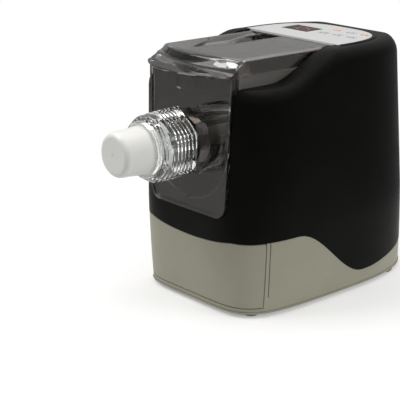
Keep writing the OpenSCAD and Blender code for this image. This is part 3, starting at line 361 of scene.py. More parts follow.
def soft_rubber():
    """Grey thermoplastic rubber: matt, with a dusty mottle."""
    material, tree, shader = new_material("grey_thermoplastic_rubber", {
        "Base Color": srgb("#7E7A6C"), "Roughness": 0.85, "IOR": 1.5, "Specular IOR Level": 0.3})
    spread_colour(tree, shader, 5, "#77736A", "#858172", detail=4.0)
    grain(tree, shader, 0.5, 0.03)
    return material


def dark_polyamide(name="dark_polyamide", low="#141414", high="#1C1C1B"):
    """Glass-filled polyamide: dark and dry, with faint fibre streaks along the flow."""
    material, tree, shader = new_material(name, {
        "Base Color": srgb(low), "Roughness": 0.6, "IOR": 1.53, "Specular IOR Level": 0.4})
    spread_colour(tree, shader, 4, low, high, detail=5.0)
    grain(tree, shader, 0.8, 0.02, stretch=(1, 0.2, 1))
    return material


def metal(name, low, high, roughness, line, direction):
    """A bare metal whose tool marks run round or along the piece, line millimetres apart."""
    material, tree, shader = new_material(name, {"Base Color": srgb(low), "Metallic": 1.0,
                                                 "Roughness": roughness})
    spread_colour(tree, shader, 12, low, high, detail=3.0)
    grain(tree, shader, line, 0.006, stretch=direction)
    return material


def gear_nylon():
    """Cast nylon, cut to its teeth: ivory and waxy."""
    material, tree, shader = new_material("natural_nylon", {
        "Base Color": srgb("#E2DECF"), "Roughness": 0.45, "IOR": 1.53,
        "Subsurface Weight": 0.15, "Subsurface Radius": (1.0, 0.9, 0.7), "Subsurface Scale": 0.002})
    spread_colour(tree, shader, 14, "#DDD8C8", "#E6E2D4")
    grain(tree, shader, 0.7, 0.008)
    return material


def circuit_board():
    """Glass-epoxy laminate under green lacquer: the weave shows faintly through, drawn at 0.8 mm."""
    material, tree, shader = new_material("lacquered_circuit_board", {
        "Base Color": srgb("#1F5A35"), "Roughness": 0.35, "IOR": 1.5})
    place = add_node(tree, "ShaderNodeTexCoord")
    weave = add_node(tree, "ShaderNodeTexChecker", {
        "Vector": place.outputs["Object"], "Scale": per_mm(0.8),
        "Color1": srgb("#1D5632"), "Color2": srgb("#22613A")})
    tree.links.new(weave.outputs["Color"], shader.inputs["Base Color"])
    grain(tree, shader, 3, 0.01)
    return material


def motor_iron():
    """Stacked motor laminations under varnish: brown-grey with fine lines across.

    Real sheets are 0.5 mm thick. The lines are drawn 3.1 mm apart, so that they show.
    """
    material, tree, shader = new_material("varnished_laminations", {
        "Base Color": srgb("#5C5650"), "Roughness": 0.45, "Metallic": 0.6})
    place = add_node(tree, "ShaderNodeTexCoord")
    stack = add_node(tree, "ShaderNodeTexWave", {
        "Vector": place.outputs["Object"], "Scale": per_mm(STACK_LINE) / WAVE_BANDS},
        bands_direction="Y")
    bump = add_node(tree, "ShaderNodeBump", {"Height": stack.outputs["Fac"], "Distance": 0.05 * MM})
    tree.links.new(bump.outputs["Normal"], shader.inputs["Normal"])
    spread_colour(tree, shader, 10, "#544E49", "#655F58")
    return material


# The record's slots, and below them the inks and second finishes
MAKERS = {
    "casing_black": black_abs,
    "base_grey": grey_abs,
    "smoke_clear": smoked_san,
    "clear": clear_polycarbonate,
    "white_plastic": white_pom,
    "fascia_silver": silver_film,
    "key_white": key_film,
    "key_orange": key_film,
    "display": dark_lens,
    "silicone": silicone,
    "rubber_dark": soft_rubber,
    "dark_plastic": dark_polyamide,
    "gearbox_alloy": lambda: dark_polyamide("glass_filled_polyamide", "#3A3B3D", "#47484A"),
    "steel": lambda: metal("turned_steel", "#B4B5B8", "#C2C3C5", 0.28, 0.3, (0.1, 1, 0.1)),
    "bronze": lambda: metal("sintered_bronze", "#B08A52", "#BE985E", 0.45, 0.4, (1, 1, 1)),
    "laminations": motor_iron,
    "copper_rotor": lambda: metal("varnished_copper", "#A5643C", "#B57246", 0.35, 0.6, (1, 0.2, 1)),
    "gear_nylon": gear_nylon,
    "board_green": circuit_board,
    # painted shade: darker smoke on the lid's front and the barrel's root, partly for their thick wall
    "painted_shade_thick_smoke": painted_shade_thick_smoked_san,
    "rim_smoke": textured_smoked_san,
    "ink_grey": lambda: screen_ink("ink_grey", "#8C8F97"),
    "ink_orange": lambda: screen_ink("ink_orange", "#CF8258"),
    "ink_white": lambda: screen_ink("ink_white", "#E6E6E4"),
    "segment_red": lambda: screen_ink("segment_red", "#B4585C"),
}
MADE = {}


def material_of(slot):
    """The material for one of the record's slots or one of the inks, made once."""
    maker = MAKERS[slot]
    if maker not in MADE:
        MADE[maker] = maker()
    return MADE[maker]


# ---- Modelling helpers ----

def activate(*pieces):
    """Leaves edit mode and selects only these pieces, the first one active."""
    if bpy.context.object and bpy.context.object.mode != "OBJECT":
        bpy.ops.object.mode_set(mode="OBJECT")
    bpy.ops.object.select_all(action="DESELECT")
    for piece in pieces:
        piece.select_set(True)
    bpy.context.view_layer.objects.active = pieces[0]


def pick(piece, kind, test):
    """Enters edit mode with those points or faces selected whose place passes the test."""
    activate(piece)
    bpy.ops.object.mode_set(mode="EDIT")
    bpy.ops.mesh.select_mode(type=kind)
    bpy.ops.mesh.select_all(action="DESELECT")
    bpy.ops.object.mode_set(mode="OBJECT")
    mesh = piece.data
    if kind == "FACE":
        for face in mesh.polygons:
            face.select = test(face.center)
    else:
        for point in mesh.vertices:
            point.select = test(point.co)
    bpy.ops.object.mode_set(mode="EDIT")


def add_primitive(kind, name, **place):
    """Adds one of the mesh primitives with nothing else selected."""
    bpy.ops.object.select_all(action="DESELECT")
    getattr(bpy.ops.mesh, f"primitive_{kind}_add")(**place)
    piece = bpy.context.object
    piece.name = name
    return piece


def face_up(piece):
    """Turns the faces of a flat piece upwards."""
    activate(piece)
    bpy.ops.object.mode_set(mode="EDIT")
    bpy.ops.mesh.select_all(action="SELECT")
    bpy.ops.mesh.normals_make_consistent(inside=False)
    bpy.ops.object.mode_set(mode="OBJECT")
    if piece.data.polygons[0].normal.z < 0:
        pick(piece, "FACE", lambda centre: True)
        bpy.ops.mesh.flip_normals()
        bpy.ops.object.mode_set(mode="OBJECT")


def settle(piece):
    """Puts the piece's place into its mesh, so that the object itself sits at the origin."""
    activate(piece)
    bpy.ops.object.transform_apply(location=True, rotation=True, scale=True)


def modify(piece, kind, **settings):
    """Adds a modifier, sets it and applies it."""
    activate(piece)
    modifier = piece.modifiers.new(kind.lower(), kind)
    for name, value in settings.items():
        setattr(modifier, name, value)
    bpy.ops.object.modifier_apply(modifier=modifier.name)


def smooth(piece, angle):
    """Shades the piece smooth apart from edges sharper than angle degrees."""
    activate(piece)
    bpy.ops.object.shade_smooth_by_angle(angle=math.radians(angle))


def copy_node(node, name):
    """A new piece with a CAD node's shape, its loose triangles joined to one skin."""
    piece = bpy.data.objects.new(name, frame["nodes"][node].data.copy())
    bpy.context.scene.collection.objects.link(piece)
    activate(piece)
    bpy.ops.object.mode_set(mode="EDIT")
    bpy.ops.mesh.select_all(action="SELECT")
    bpy.ops.mesh.remove_doubles(threshold=WELD * MM)
    bpy.ops.object.mode_set(mode="OBJECT")
    return piece


def flatten(piece):
    """Joins triangles that lie in one plane, so that edges can be rounded."""
    activate(piece)
    bpy.ops.object.mode_set(mode="EDIT")
    bpy.ops.mesh.select_all(action="SELECT")
    bpy.ops.mesh.dissolve_limited(angle_limit=math.radians(FLAT))
    bpy.ops.object.mode_set(mode="OBJECT")


def round_edges(piece, width, segments=2, angle=40):
    """Rounds every edge sharper than angle degrees by width, in metres."""
    modify(piece, "BEVEL", width=width, segments=segments, limit_method="ANGLE",
           angle_limit=math.radians(angle), use_clamp_overlap=True, miter_outer="MITER_ARC")


def cut(piece, cutter):
    """Takes the cutter's shape out of the piece and deletes the cutter."""
    modify(piece, "BOOLEAN", operation="DIFFERENCE", object=cutter, solver="EXACT")
    bpy.data.objects.remove(cutter)


def finish(piece, body, slot, nodes=(), ink=None, angle=30):
    """Shades a piece, gives it its material, and says what it rides on and stands for."""
    smooth(piece, angle)
    modify(piece, "WEIGHTED_NORMAL", mode="FACE_AREA", weight=80, keep_sharp=True)
    piece.data.materials.clear()
    piece.data.materials.append(material_of(ink or slot))
    if nodes:
        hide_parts(*nodes)
    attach(piece, body)
    return piece


def second_finish(piece, finish_name, test):
    """Gives the faces whose corners all pass the test a second material."""
    mesh = piece.data
    mesh.materials.append(material_of(finish_name))
    for face in mesh.polygons:
        if all(test(mesh.vertices[i].co) for i in face.vertices):
            face.material_index = len(mesh.materials) - 1


def refine(node, name, width=None, segments=2, angle=40):
    """A CAD node's shape with its sharp edges rounded, standing for that node."""
    piece = copy_node(node, name)
    flatten(piece)
    round_edges(piece, EDGES[node] * MM if width is None else width, segments, angle)
    return finish(piece, BODIES[node], SLOTS[node], [node])


def join(name, pieces):
    """Joins pieces into one of that name."""
    activate(*pieces)
    if len(pieces) > 1:
        bpy.ops.object.join()
    pieces[0].name = name
    pieces[0].data.name = name
    return pieces[0]


def copy_at(piece, shift):
    """A copy of a piece with its own mesh, moved by shift."""
    twin = bpy.data.objects.new(piece.name, piece.data.copy())
    bpy.context.scene.collection.objects.link(twin)
    twin.location = shift
    settle(twin)
    return twin


def rear_y(name, x, z):
    """Where a line along Y at (x, z), coming from behind, meets a piece."""
    bpy.context.view_layer.update()
    hit, place, _, _ = bpy.data.objects[name].ray_cast(Vector((x, 1, z)), Vector((0, -1, 0)))
    if not hit:
        raise RuntimeError(f"nothing of {name} lies at x {x:.3f}, z {z:.3f}")
    return place.y


# ---- Sizes that a user would change ----

class CasingSizes(bpy.types.PropertyGroup):
    """Edges of the opaque mouldings"""
    edge: FloatProperty(name="Casing edge", description="Rounding of the black casing's edges",
                        default=0.8 * MM, min=0.1 * MM, max=2 * MM, precision=5, subtype="DISTANCE")
    base_edge: FloatProperty(name="Base edge", description="Rounding of the grey base's edges",
                             default=1.0 * MM, min=0.1 * MM, max=2 * MM, precision=5, subtype="DISTANCE")


class NozzleSizes(bpy.types.PropertyGroup):
    """Thread of the barrel and the ring nut, and the die's edges"""
    pitch: FloatProperty(name="Thread pitch", description="Advance of the thread in one turn",
                         default=5.0 * MM, min=2 * MM, max=8 * MM, precision=5, subtype="DISTANCE")
    depth: FloatProperty(name="Thread depth", description="Depth of the thread's grooves",
                         default=1.9 * MM, min=0.5 * MM, max=2.5 * MM, precision=5, subtype="DISTANCE")
    steps: IntProperty(name="Steps a turn", description="Flats that a turn of the thread is made of",
                       default=72, min=24, max=128)
    die_edge: FloatProperty(name="Die edge", description="Rounding of the die's edges",
                            default=0.5 * MM, min=0.1 * MM, max=1.5 * MM, precision=5, subtype="DISTANCE")


class PanelSizes(bpy.types.PropertyGroup):
    """Print on the control panel and its keys"""
    ink: FloatProperty(name="Ink thickness", description="Height of the printed marks",
                       default=0.05 * MM, min=0.02 * MM, max=0.2 * MM, precision=5, subtype="DISTANCE")
    stroke: FloatProperty(name="Stroke", description="Width of the printed lines",
                          default=0.7 * MM, min=0.3 * MM, max=1.5 * MM, precision=5, subtype="DISTANCE")
    bezel: FloatProperty(name="Bezel", description="Width of the casing's bead round the panel",
                         default=5.0 * MM, min=1 * MM, max=8 * MM, precision=5, subtype="DISTANCE")


class StageSizes(bpy.types.PropertyGroup):
    """Camera, lamps and floor"""
    lens: FloatProperty(name="Lens", description="Focal length of the camera",
                        default=118.6, min=20, max=300, unit="CAMERA")
    lamp_colour: FloatVectorProperty(name="Lamp colour", description="Colour of the softboxes",
                                     subtype="COLOR", size=3, default=(1.0, 0.985, 0.96), min=0, max=1)
    key_power: FloatProperty(name="Key light", description="Power of the main softbox",
                             default=11.8, min=0, max=200, unit="POWER")
    side_power: FloatProperty(name="Side light", description="Power of the softbox at the right",
                              default=8.0, min=0, max=200, unit="POWER")
    fill: FloatProperty(name="Fill light", description="Strength of the light from all round",
                        default=0.55, min=0, max=1, subtype="FACTOR")
    card: FloatProperty(name="Card grey", description="Level of the grey cards, 1 is white",
                        default=0.42, min=0, max=1, subtype="FACTOR")
    strip: FloatProperty(name="Strip", description="Strength of the strip that reflections see",
                         default=17.0, min=0, max=50)


class PastaTool:
    """What every operator here shares: it can be undone and says which mode it needs"""
    bl_options = {"REGISTER", "UNDO"}

    @classmethod
    def poll(cls, context):
        return context.mode == "OBJECT"


# ---- Casing and base ----

class PASTA_OT_casing(PastaTool, bpy.types.Operator):
    """Black casing, its rear cover and the lid's hinge brackets, with rounded edges"""
    bl_idname = "pasta.casing"
    bl_label = "Casing"

    def execute(self, context):
        edge = context.scene.pasta_casing.edge
        refine("upper_shell", "casing_shell", edge, segments=3, angle=SHARP)
        refine("rear_cover", "casing_rear_cover", edge / 2, angle=SHARP)
        refine("hinge_brackets", "lid_hinge_brackets", edge / 2)
        return {"FINISHED"}


class PASTA_OT_base(PastaTool, bpy.types.Operator):
    """Grey base, base plate and the drawer with its tray and rails"""
    bl_idname = "pasta.base"
    bl_label = "Base and drawer"

    def execute(self, context):
        edge = context.scene.pasta_casing.base_edge
        refine("base_shell", "base_body", edge, segments=3, angle=SHARP)
        refine("drawer_front", "drawer_face", edge, segments=3, angle=SHARP)
        refine("base_plate", "base_floor", edge / 2)
        refine("drawer_tray", "drawer_box", edge / 2)
        refine("drawer_rails", "drawer_runners", edge / 2)
        refine("rubber_feet", "feet", edge / 2)
        return {"FINISHED"}


# ---- Clear covers ----

def helix(name, radius, tip, half_width, y0, turns, pitch, steps):
    """A closed three-sided thread about the auger axis, its base at radius and its ridge at tip."""
    low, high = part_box("ring_nut")
    axis_z = (low.z + high.z) / 2
    piece = add_primitive("circle", name, vertices=3, radius=half_width, fill_type="NOTHING",
                          location=(0, 0, 0))
    corners = [(radius, -half_width), (radius, half_width), (tip, 0)]
    for point, (r, along) in zip(piece.data.vertices, corners):
        point.co = (r, 0, along)
    modify(piece, "SCREW", axis="Z", angle=2 * math.pi, screw_offset=pitch, iterations=turns,
           steps=steps, render_steps=steps, use_merge_vertices=False)
    activate(piece)
    bpy.ops.object.mode_set(mode="EDIT")
    bpy.ops.mesh.select_all(action="SELECT")
    bpy.ops.mesh.remove_doubles(threshold=THREAD_WELD * MM)
    bpy.ops.mesh.select_all(action="DESELECT")
    bpy.ops.mesh.select_mode(type="EDGE")
    bpy.ops.mesh.select_non_manifold(extend=False)
    bpy.ops.mesh.fill_holes(sides=3)
    bpy.ops.mesh.select_all(action="SELECT")
    bpy.ops.mesh.normals_make_consistent(inside=False)
    bpy.ops.object.mode_set(mode="OBJECT")
    piece.rotation_euler = (-math.pi / 2, 0, 0)
    piece.location = (0, y0, axis_z)
    settle(piece)
    return piece


class PASTA_OT_covers(PastaTool, bpy.types.Operator):
    """Smoked lid, front panel with its threaded barrel, and the mixing bin"""
    bl_idname = "pasta.covers"
    bl_label = "Smoked covers"

    def execute(self, context):
        sizes = context.scene.pasta_nozzle
        lid = refine("lid", "lid_cover", angle=45)
        # painted shade: the lid's front is given the darker smoke, partly for its thick wall
        visor_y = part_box("lid")[0].y + VISOR_L * MM
        second_finish(lid, "painted_shade_thick_smoke", lambda corner: corner.y < visor_y)
        mixing_bin = refine("mixing_bin", "mixing_bin_wall", angle=SHARP)
        rim_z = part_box("mixing_bin")[1].z - RIM_BAND * MM
        second_finish(mixing_bin, "rim_smoke", lambda corner: corner.z > rim_z)
        refine("panel_gasket", "panel_seal")
        refine("hinge_pins", "lid_pins")
        panel = copy_node("front_panel", "front_panel_cover")
        flatten(panel)
        round_edges(panel, EDGES["front_panel"] * MM, angle=SHARP)
        nut_low, nut_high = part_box("ring_nut")
        panel_low, panel_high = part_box("front_panel")
        barrel = BARREL_R * MM
        groove = helix("barrel_groove", barrel + BARREL_PROUD * MM, barrel - sizes.depth,
                       sizes.pitch * FLANK, panel_low.y - sizes.pitch, THREAD_TURNS + 1,
                       sizes.pitch, sizes.steps)
        cut(panel, groove)
        finish(panel, "front_panel", "smoke_clear", ["front_panel"])
        axis_z = (nut_low.z + nut_high.z) / 2
        front, rear = nut_high.y - ROOT_FRONT * MM, panel_high.y - ROOT_REAR * MM
        # painted shade: the barrel's root behind the nut is given the darker smoke, partly for its thick wall
        second_finish(panel, "painted_shade_thick_smoke", lambda corner: front < corner.y < rear
                      and math.hypot(corner.x, corner.z - axis_z) < ROOT_R * MM)
        return {"FINISHED"}


class PASTA_OT_nozzle(PastaTool, bpy.types.Operator):
    """Clear ring nut with its inner thread, and the white die"""
    bl_idname = "pasta.nozzle"
    bl_label = "Nut and die"

    def execute(self, context):
        sizes = context.scene.pasta_nozzle
        nut = copy_node("ring_nut", "clear_ring_nut")
        flatten(nut)
        round_edges(nut, EDGES["ring_nut"] * MM, segments=3, angle=24)
        low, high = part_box("ring_nut")
        axis_z = (low.z + high.z) / 2
        bore = (BARREL_R + NUT_GAP) * MM
        tap = helix("nut_tap", bore - BORE_PROUD * MM, bore + sizes.depth - NUT_GAP * MM,
                    sizes.pitch * FLANK, high.y - THREAD_L * MM, THREAD_TURNS, sizes.pitch, sizes.steps)
        cut(nut, tap)
        for behind, radius in NUT_GROOVES:
            cut(nut, add_primitive("torus", "nut_groove", major_radius=radius * MM,
                                   minor_radius=GROOVE_R * MM, major_segments=96, minor_segments=12,
                                   location=(0, low.y + behind * MM, axis_z),
                                   rotation=(math.pi / 2, 0, 0)))
        finish(nut, "nut", "clear", ["ring_nut"], angle=25)
        die = copy_node("extrusion_die", "white_die")
        flatten(die)
        round_edges(die, sizes.die_edge, segments=3, angle=SHARP)
        die_low, die_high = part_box("extrusion_die")
        axis_z = (die_low.z + die_high.z) / 2
        cut(die, add_primitive("cylinder", "die_mark", vertices=32, radius=DIE_MARK_R * MM,
                               depth=DIE_MARK_L * MM, location=(0, die_low.y, axis_z),
                               rotation=(math.pi / 2, 0, 0)))
        finish(die, "die", "white_plastic", ["extrusion_die"])
        return {"FINISHED"}


class PASTA_OT_mixer(PastaTool, bpy.types.Operator):
    """Mixing paddle, auger screw and their shaft"""
    bl_idname = "pasta.mixer"
    bl_label = "Paddle and auger"

    def execute(self, context):
        refine("mixing_paddle", "mixing_arms", segments=3)
        refine("auger_screw", "auger", angle=SHARP)
        refine("drive_shaft", "drive_spindle")
        return {"FINISHED"}


# ---- Control panel ----

def mark_ring(place, radius, stroke, height, gap):
    """A printed ring round a place. gap is a test for the stretch left open."""
    piece = add_primitive("circle", "ring", vertices=RING_SIDES, radius=radius, fill_type="NGON",
                          location=place)
    settle(piece)
    pick(piece, "FACE", lambda centre: True)
    bpy.ops.mesh.inset(thickness=stroke)
    bpy.ops.mesh.delete(type="FACE")
    pick(piece, "FACE", lambda centre: gap(centre - Vector(place)))
    bpy.ops.mesh.delete(type="FACE")
    modify_thickness(piece, height)
    return piece


def mark_bar(name, place, size, height):
    """A printed bar of size (along x, along y) in its middle at place."""
    piece = add_primitive("plane", name, size=1, location=place)
    piece.scale = (size[0], size[1], 1)
    settle(piece)
    modify(piece, "BEVEL", affect="VERTICES", width=min(size) * BAR_ROUND, segments=3)
    modify_thickness(piece, height)
    return piece


def mark_arrow(place, radius, height, turn):
    """A solid printed triangle, its point towards turn degrees from +X."""
    piece = add_primitive("circle", "arrow", vertices=3, radius=radius, fill_type="NGON",
                          location=place, rotation=(0, 0, math.radians(turn - 90)))
    settle(piece)
    modify(piece, "BEVEL", affect="VERTICES", width=radius * ARROW_ROUND, segments=3)
    modify_thickness(piece, height)
    return piece


def modify_thickness(piece, height):
    """Gives a flat mark its thickness of ink, upwards."""
    face_up(piece)
    modify(piece, "SOLIDIFY", thickness=height, offset=1)


def lower_top(piece, depth):
    """Lowers a key's flat top and its rounded edge by depth."""
    level = max(point.co.z for point in piece.data.vertices)
    pick(piece, "VERT", lambda place: place.z > level - KEY_CAP * MM)
    bpy.ops.transform.translate(value=(0, 0, -depth))
    bpy.ops.object.mode_set(mode="OBJECT")


def top_of(node):
    """The middle of a node's top face."""
    low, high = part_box(node)
    return Vector(((low.x + high.x) / 2, (low.y + high.y) / 2, high.z))


def key_marks(kind, place, ink, stroke):
    """The marks of one key: a plain sign for what it does."""
    def off(x, y):
        return place + Vector((x * MM, y * MM, 0))
    if kind == "power":
        return [mark_ring(place, POWER_R * MM, stroke, ink,
                          gap=lambda p: p.y > 0 and abs(p.x) < POWER_GAP * MM),
                mark_bar("stem", off(0, STEM_UP), (stroke, STEM_L * MM), ink)]
    if kind == "start":
        return [mark_arrow(place, START_R * MM, ink, 0)]
    if kind == "pause":
        return [mark_bar("bar", off(x, 0), (stroke * PAUSE_STROKE, PAUSE_L * MM), ink)
                for x in (-PAUSE_OFF, PAUSE_OFF)]
    if kind == "up":
        return [mark_arrow(place, ARROW_R * MM, ink, 90)]
    if kind == "down":
        return [mark_arrow(place, ARROW_R * MM, ink, -90)]
    return [mark_bar("line", off(0, y), (LINE_L * MM, stroke * LINE_STROKE), ink) for y in LINES_UP]


def fascia_arc(turn, inset):
    """A point of the control panel's round outline, inset within it, turn radians from the right."""
    low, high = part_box("control_panel")
    half, depth = (high.x - low.x) / 2 - inset, high.y - low.y - inset
    across, along = abs(math.cos(turn)) ** FASCIA_POWER, abs(math.sin(turn)) ** FASCIA_POWER
    reach = (across + along) ** (-1 / FASCIA_POWER)
    return half * reach * math.cos(turn), low.y + depth * reach * math.sin(turn)


def fascia_bezel(width):
    """The casing's raised bead along the round side of the control panel."""
    piece = add_primitive("grid", "fascia_bezel", x_subdivisions=72, y_subdivisions=6, size=2)
    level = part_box("control_panel")[1].z
    for point in piece.data.vertices:
        turn = (1 - point.co.x) / 2 * math.pi
        across = (point.co.y + 1) / 2
        x, y = fascia_arc(turn, (1 - across) * width - BEAD_LAP * MM)
        point.co = (x, y, level + BEAD_RISE * MM * (1 - (2 * across - 1) ** 2) - BEAD_SINK * MM)
    face_up(piece)
    modify(piece, "SOLIDIFY", thickness=BEAD_T * MM, offset=-1)
    return piece


def digit(place, height, stroke, ink, shown):
    """The bars of one seven-segment figure, its middle at place."""
    half = height / 4
    spots = {"a": (0, 2 * half, 1), "g": (0, 0, 1), "d": (0, -2 * half, 1), "f": (-half, half, 0),
             "b": (half, half, 0), "e": (-half, -half, 0), "c": (half, -half, 0)}
    bars = []
    for key in SEGMENTS[shown]:
        x, y, level = spots[key]
        long = 2 * half - stroke * 1.2
        bars.append(mark_bar("segment", place + Vector((x, y, 0)),
                             (long, stroke) if level else (stroke, long), ink))
    return bars


class PASTA_OT_controls(PastaTool, bpy.types.Operator):
    """Control panel, its display and keys, with plain printed signs"""
    bl_idname = "pasta.controls"
    bl_label = "Control panel"

    def execute(self, context):
        sizes = context.scene.pasta_panel
        ink, stroke = sizes.ink, sizes.stroke
        refine("control_panel", "panel_fascia", segments=3)
        finish(fascia_bezel(sizes.bezel), "housing", "casing_black")
        refine("display_window", "display_lens")
        for name, colour in KEYS.items():
            key = refine(f"key_{name}", f"button_{name}", KEY_EDGE * MM, segments=3)
            middle = top_of(f"key_{name}") - Vector((0, 0, 2 * ink))
            lower_top(key, 2 * ink)
            pad = mark_bar(f"pad_{name}", middle, (KEY_PAD[0] * MM, KEY_PAD[1] * MM), ink)
            finish(pad, f"key_{name}", SLOTS[f"key_{name}"], ink=colour)
            marks = join(f"sign_{name}", key_marks(name, middle + Vector((0, 0, ink)), ink, stroke))
            finish(marks, f"key_{name}", SLOTS[f"key_{name}"], ink="ink_white")
        glass = top_of("display_window")
        figures = []
        for place, shown in FIGURES:
            figures += digit(glass + Vector((place * MM, 0, 0)), FIGURE_H * MM, FIGURE_STROKE * MM,
                             ink, shown)
        finish(join("display_figures", figures), "housing", "display", ink="segment_red")
        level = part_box("control_panel")[1].z
        dashes = []
        for name in KEYS:
            middle = top_of(f"key_{name}")
            dashes.append(mark_bar("dash", Vector((middle.x, middle.y + DASH_OFF * MM, level)),
                                   (DASH_L * MM, stroke * DASH_STROKE), ink))
        finish(join("panel_print", dashes), "housing", "fascia_silver", ink="ink_grey")
        return {"FINISHED"}


# ---- Back ----

class PASTA_OT_back(PastaTool, bpy.types.Operator):
    """Power inlet with its contacts, and the screws of the rear cover"""
    bl_idname = "pasta.back"
    bl_label = "Inlet and screws"

    def execute(self, context):
        refine("power_inlet", "mains_socket")
        low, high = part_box("power_inlet")
        middle = (low + high) / 2
        contacts = []
        for x, z in CONTACTS:
            contact = add_primitive("cube", "contact", size=1,
                                    location=(middle.x + x * MM, high.y - CONTACT_IN * MM, middle.z + z * MM))
            contact.scale = [side * MM for side in CONTACT_SIZE]
            settle(contact)
            round_edges(contact, EDGES["power_inlet"] * MM)
            contacts.append(contact)
        finish(join("socket_contacts", contacts), "housing", "steel")
        cover_low, cover_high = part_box("rear_cover")
        screw = add_primitive("cylinder", "cover_screw", vertices=32, radius=SCREW_R * MM,
                              depth=SCREW_H * MM, rotation=(math.pi / 2, 0, 0))
        settle(screw)
        modify(screw, "BEVEL", width=SCREW_EDGE * MM, segments=3, limit_method="ANGLE")
        for turn in (0, math.pi / 2):
            slot = add_primitive("cube", "screw_slot", size=1, location=(0, SLOT_OUT * MM, 0),
                                 rotation=(0, turn, 0))
            slot.scale = [side * MM for side in SCREW_SLOT]
            cut(screw, slot)
        screws = []
        inset = SCREW_INSET * MM
        for x in (cover_low.x + inset, cover_high.x - inset):
            for z in (cover_low.z + inset, cover_high.z - inset):
                y = rear_y("casing_rear_cover", x, z)
                screws.append(copy_at(screw, (x, y + SCREW_PROUD * MM, z)))
        bpy.data.objects.remove(screw)
        finish(join("rear_screws", screws), "housing", "steel")
        refine("case_screws", "underside_screws")
        return {"FINISHED"}


class PASTA_OT_drive(PastaTool, bpy.types.Operator):
    """Finishes of the motor, gears and boards inside the casing"""
    bl_idname = "pasta.drive"
    bl_label = "Drive"

    def execute(self, context):
        for name, node in frame["nodes"].items():
            if node.hide_render:
                continue
            node.data.materials.clear()
            node.data.materials.append(material_of(SLOTS[name]))
        return {"FINISHED"}


# ---- Studio ----

def softbox(name, power, colour):
    """One of the lamps of the table, facing its target."""
    place, target, size = LAMPS[name]
    lamp = bpy.data.lights.new(name, "AREA")
    lamp.shape = "RECTANGLE"
    lamp.size, lamp.size_y = size
    lamp.energy = power
    lamp.color = colour
    item = bpy.data.objects.new(name, lamp)
    bpy.context.scene.collection.objects.link(item)
    item.location = place
    item.rotation_euler = (Vector(target) - Vector(place)).to_track_quat("-Z", "Y").to_euler()
    return item


def seen_rays(tree):
    """1 for camera, glossy and transmission rays, which see the white backdrop, and 0 for the rest."""
    path = add_node(tree, "ShaderNodeLightPath")
    first = add_node(tree, "ShaderNodeMath", {
        0: path.outputs["Is Camera Ray"], 1: path.outputs["Is Glossy Ray"]}, operation="MAXIMUM")
    both = add_node(tree, "ShaderNodeMath", {
        0: first.outputs[0], 1: path.outputs["Is Transmission Ray"]}, operation="MAXIMUM")
    return both.outputs[0]


def studio_floor():
    """Matt white paper: keeps the shadow near the object and fades to the white backdrop."""
    material, tree = blank_material("studio_paper")
    paper = add_node(tree, "ShaderNodeBsdfDiffuse", {"Color": srgb("#E8E8E8")})
    seen = seen_rays(tree)
    lift = add_node(tree, "ShaderNodeMath", {0: seen, 1: FLOOR_LIFT}, operation="MULTIPLY")
    glow = add_node(tree, "ShaderNodeEmission", {"Color": (1, 1, 1, 1), "Strength": lift.outputs[0]})
    near = add_node(tree, "ShaderNodeAddShader", {0: paper.outputs[0], 1: glow.outputs[0]})
    far = add_node(tree, "ShaderNodeEmission", {"Color": (1, 1, 1, 1), "Strength": seen})
    place = add_node(tree, "ShaderNodeTexCoord")
    length = add_node(tree, "ShaderNodeVectorMath", {0: place.outputs["Object"]}, operation="LENGTH")
    blend = add_node(tree, "ShaderNodeMapRange", {
        "Value": length.outputs["Value"], "From Min": FADE_START, "From Max": FADE_END},
        interpolation_type="SMOOTHSTEP")
    mix = add_node(tree, "ShaderNodeMixShader", {
        "Fac": blend.outputs["Result"], 1: near.outputs[0], 2: far.outputs[0]})
    add_node(tree, "ShaderNodeOutputMaterial", {"Surface": mix.outputs[0]})
    return material


def only_reflected(piece, level):
    """Makes a piece a glowing studio card that nothing but reflections sees."""
    piece.visible_camera = False
    piece.visible_diffuse = False
    piece.visible_transmission = False
    piece.visible_volume_scatter = False
    piece.visible_shadow = False
    material, tree = blank_material(piece.name)
    glow = add_node(tree, "ShaderNodeEmission", {"Color": (1, 1, 1, 1), "Strength": level})
    add_node(tree, "ShaderNodeOutputMaterial", {"Surface": glow.outputs[0]})
    piece.data.materials.append(material)


def strip_card(level):
    """A narrow bright strip above the left front: the highlight along the lid's visor."""
    strip = add_primitive("plane", "strip_card", size=1, location=STRIP_PLACE,
                          rotation=(0, 0, math.radians(STRIP_TURN)))
    strip.scale = (STRIP_SIZE[0], STRIP_SIZE[1], 1)
    only_reflected(strip, level)


def grey_cards(level):
    """A ring of grey studio cards that only reflections see, so glossy sides keep their depth."""
    cards = add_primitive("circle", "grey_cards", vertices=64, radius=CARD_HOLE,
                          location=(0, 0, CARD_FOOT))
    bpy.ops.object.mode_set(mode="EDIT")
    bpy.ops.mesh.select_all(action="SELECT")
    bpy.ops.mesh.extrude_region_move()
    bpy.ops.transform.resize(value=(CARD_R / CARD_HOLE, CARD_R / CARD_HOLE, 1), center_override=(0, 0, 0))
    bpy.ops.mesh.extrude_region_move(TRANSFORM_OT_translate={"value": (0, 0, CARD_TOP - CARD_FOOT)})
    bpy.ops.object.mode_set(mode="OBJECT")
    only_reflected(cards, level)


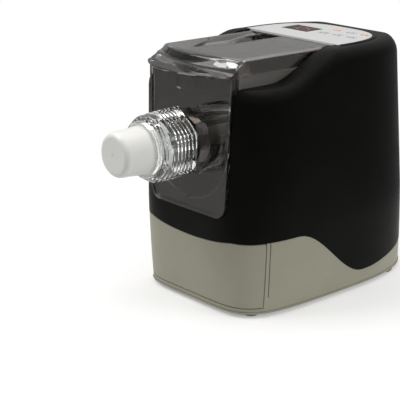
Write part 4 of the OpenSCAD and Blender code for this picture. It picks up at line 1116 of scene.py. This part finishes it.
class PASTA_OT_stage(PastaTool, bpy.types.Operator):
    """Camera, pale floor, backdrop and soft lamps"""
    bl_idname = "pasta.stage"
    bl_label = "Studio"

    def execute(self, context):
        sizes = context.scene.pasta_stage
        scene = context.scene
        bpy.ops.object.select_all(action="DESELECT")
        bpy.ops.object.camera_add(location=CAMERA_PLACE)
        camera = bpy.context.object
        view = Vector(CAMERA_TARGET) - Vector(CAMERA_PLACE)
        camera.rotation_euler = view.to_track_quat("-Z", "Y").to_euler()
        camera.data.lens = sizes.lens
        camera.data.clip_end = VIEW_END
        scene.camera = camera
        floor = add_primitive("plane", "studio_floor", size=FLOOR_SIZE, location=(0, 0, 0))
        floor.data.materials.append(studio_floor())
        grey_cards(sizes.card)
        strip_card(sizes.strip)
        colour = tuple(sizes.lamp_colour)
        softbox("key_lamp", sizes.key_power, colour)
        side = softbox("side_lamp", sizes.side_power, colour)
        side.visible_glossy = False  # its mirror image would burn out the lid's top from the left
        softbox("top_lamp", sizes.key_power * TOP_SHARE, colour)
        world = bpy.data.worlds.new("studio_white")
        scene.world = world
        world.use_nodes = True
        tree = world.node_tree
        tree.nodes.clear()
        level = add_node(tree, "ShaderNodeMapRange", {
            "Value": seen_rays(tree), "To Min": sizes.fill, "To Max": 1.0})
        sky = add_node(tree, "ShaderNodeBackground", {
            "Color": (1, 1, 1, 1), "Strength": level.outputs["Result"]})
        add_node(tree, "ShaderNodeOutputWorld", {"Surface": sky.outputs[0]})
        scene.view_settings.view_transform = "Standard"
        return {"FINISHED"}


class PASTA_PT_panel(bpy.types.Panel):
    """Buttons for the pieces, in the order they are made"""
    bl_idname = "PASTA_PT_panel"
    bl_label = "Pasta maker"
    bl_space_type = "VIEW_3D"
    bl_region_type = "UI"
    bl_category = "Pasta maker"

    def draw(self, context):
        scene = context.scene
        for group in GROUPS:
            for prop in group.__annotations__:
                self.layout.prop(getattr(scene, GROUPS[group]), prop)
        for operator in OPERATORS:
            self.layout.operator(operator.bl_idname)


GROUPS = {CasingSizes: "pasta_casing", NozzleSizes: "pasta_nozzle", PanelSizes: "pasta_panel",
          StageSizes: "pasta_stage"}
OPERATORS = (PASTA_OT_stage, PASTA_OT_casing, PASTA_OT_base, PASTA_OT_covers, PASTA_OT_nozzle,
             PASTA_OT_mixer, PASTA_OT_controls, PASTA_OT_back, PASTA_OT_drive)
CLASSES = tuple(GROUPS) + OPERATORS + (PASTA_PT_panel,)


def register():
    """Registers the classes and hangs each group of sizes on the scene."""
    for item in CLASSES:
        bpy.utils.register_class(item)
    for group, name in GROUPS.items():
        setattr(bpy.types.Scene, name, PointerProperty(type=group))


def unregister():
    """Takes the sizes and the classes away again."""
    for name in GROUPS.values():
        delattr(bpy.types.Scene, name)
    for item in reversed(CLASSES):
        bpy.utils.unregister_class(item)


def main():
    """Makes every piece and the studio."""
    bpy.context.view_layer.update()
    register()
    for operator in OPERATORS:
        family, name = operator.bl_idname.split(".")
        getattr(getattr(bpy.ops, family), name)()


if __name__ == "__main__":
    main()
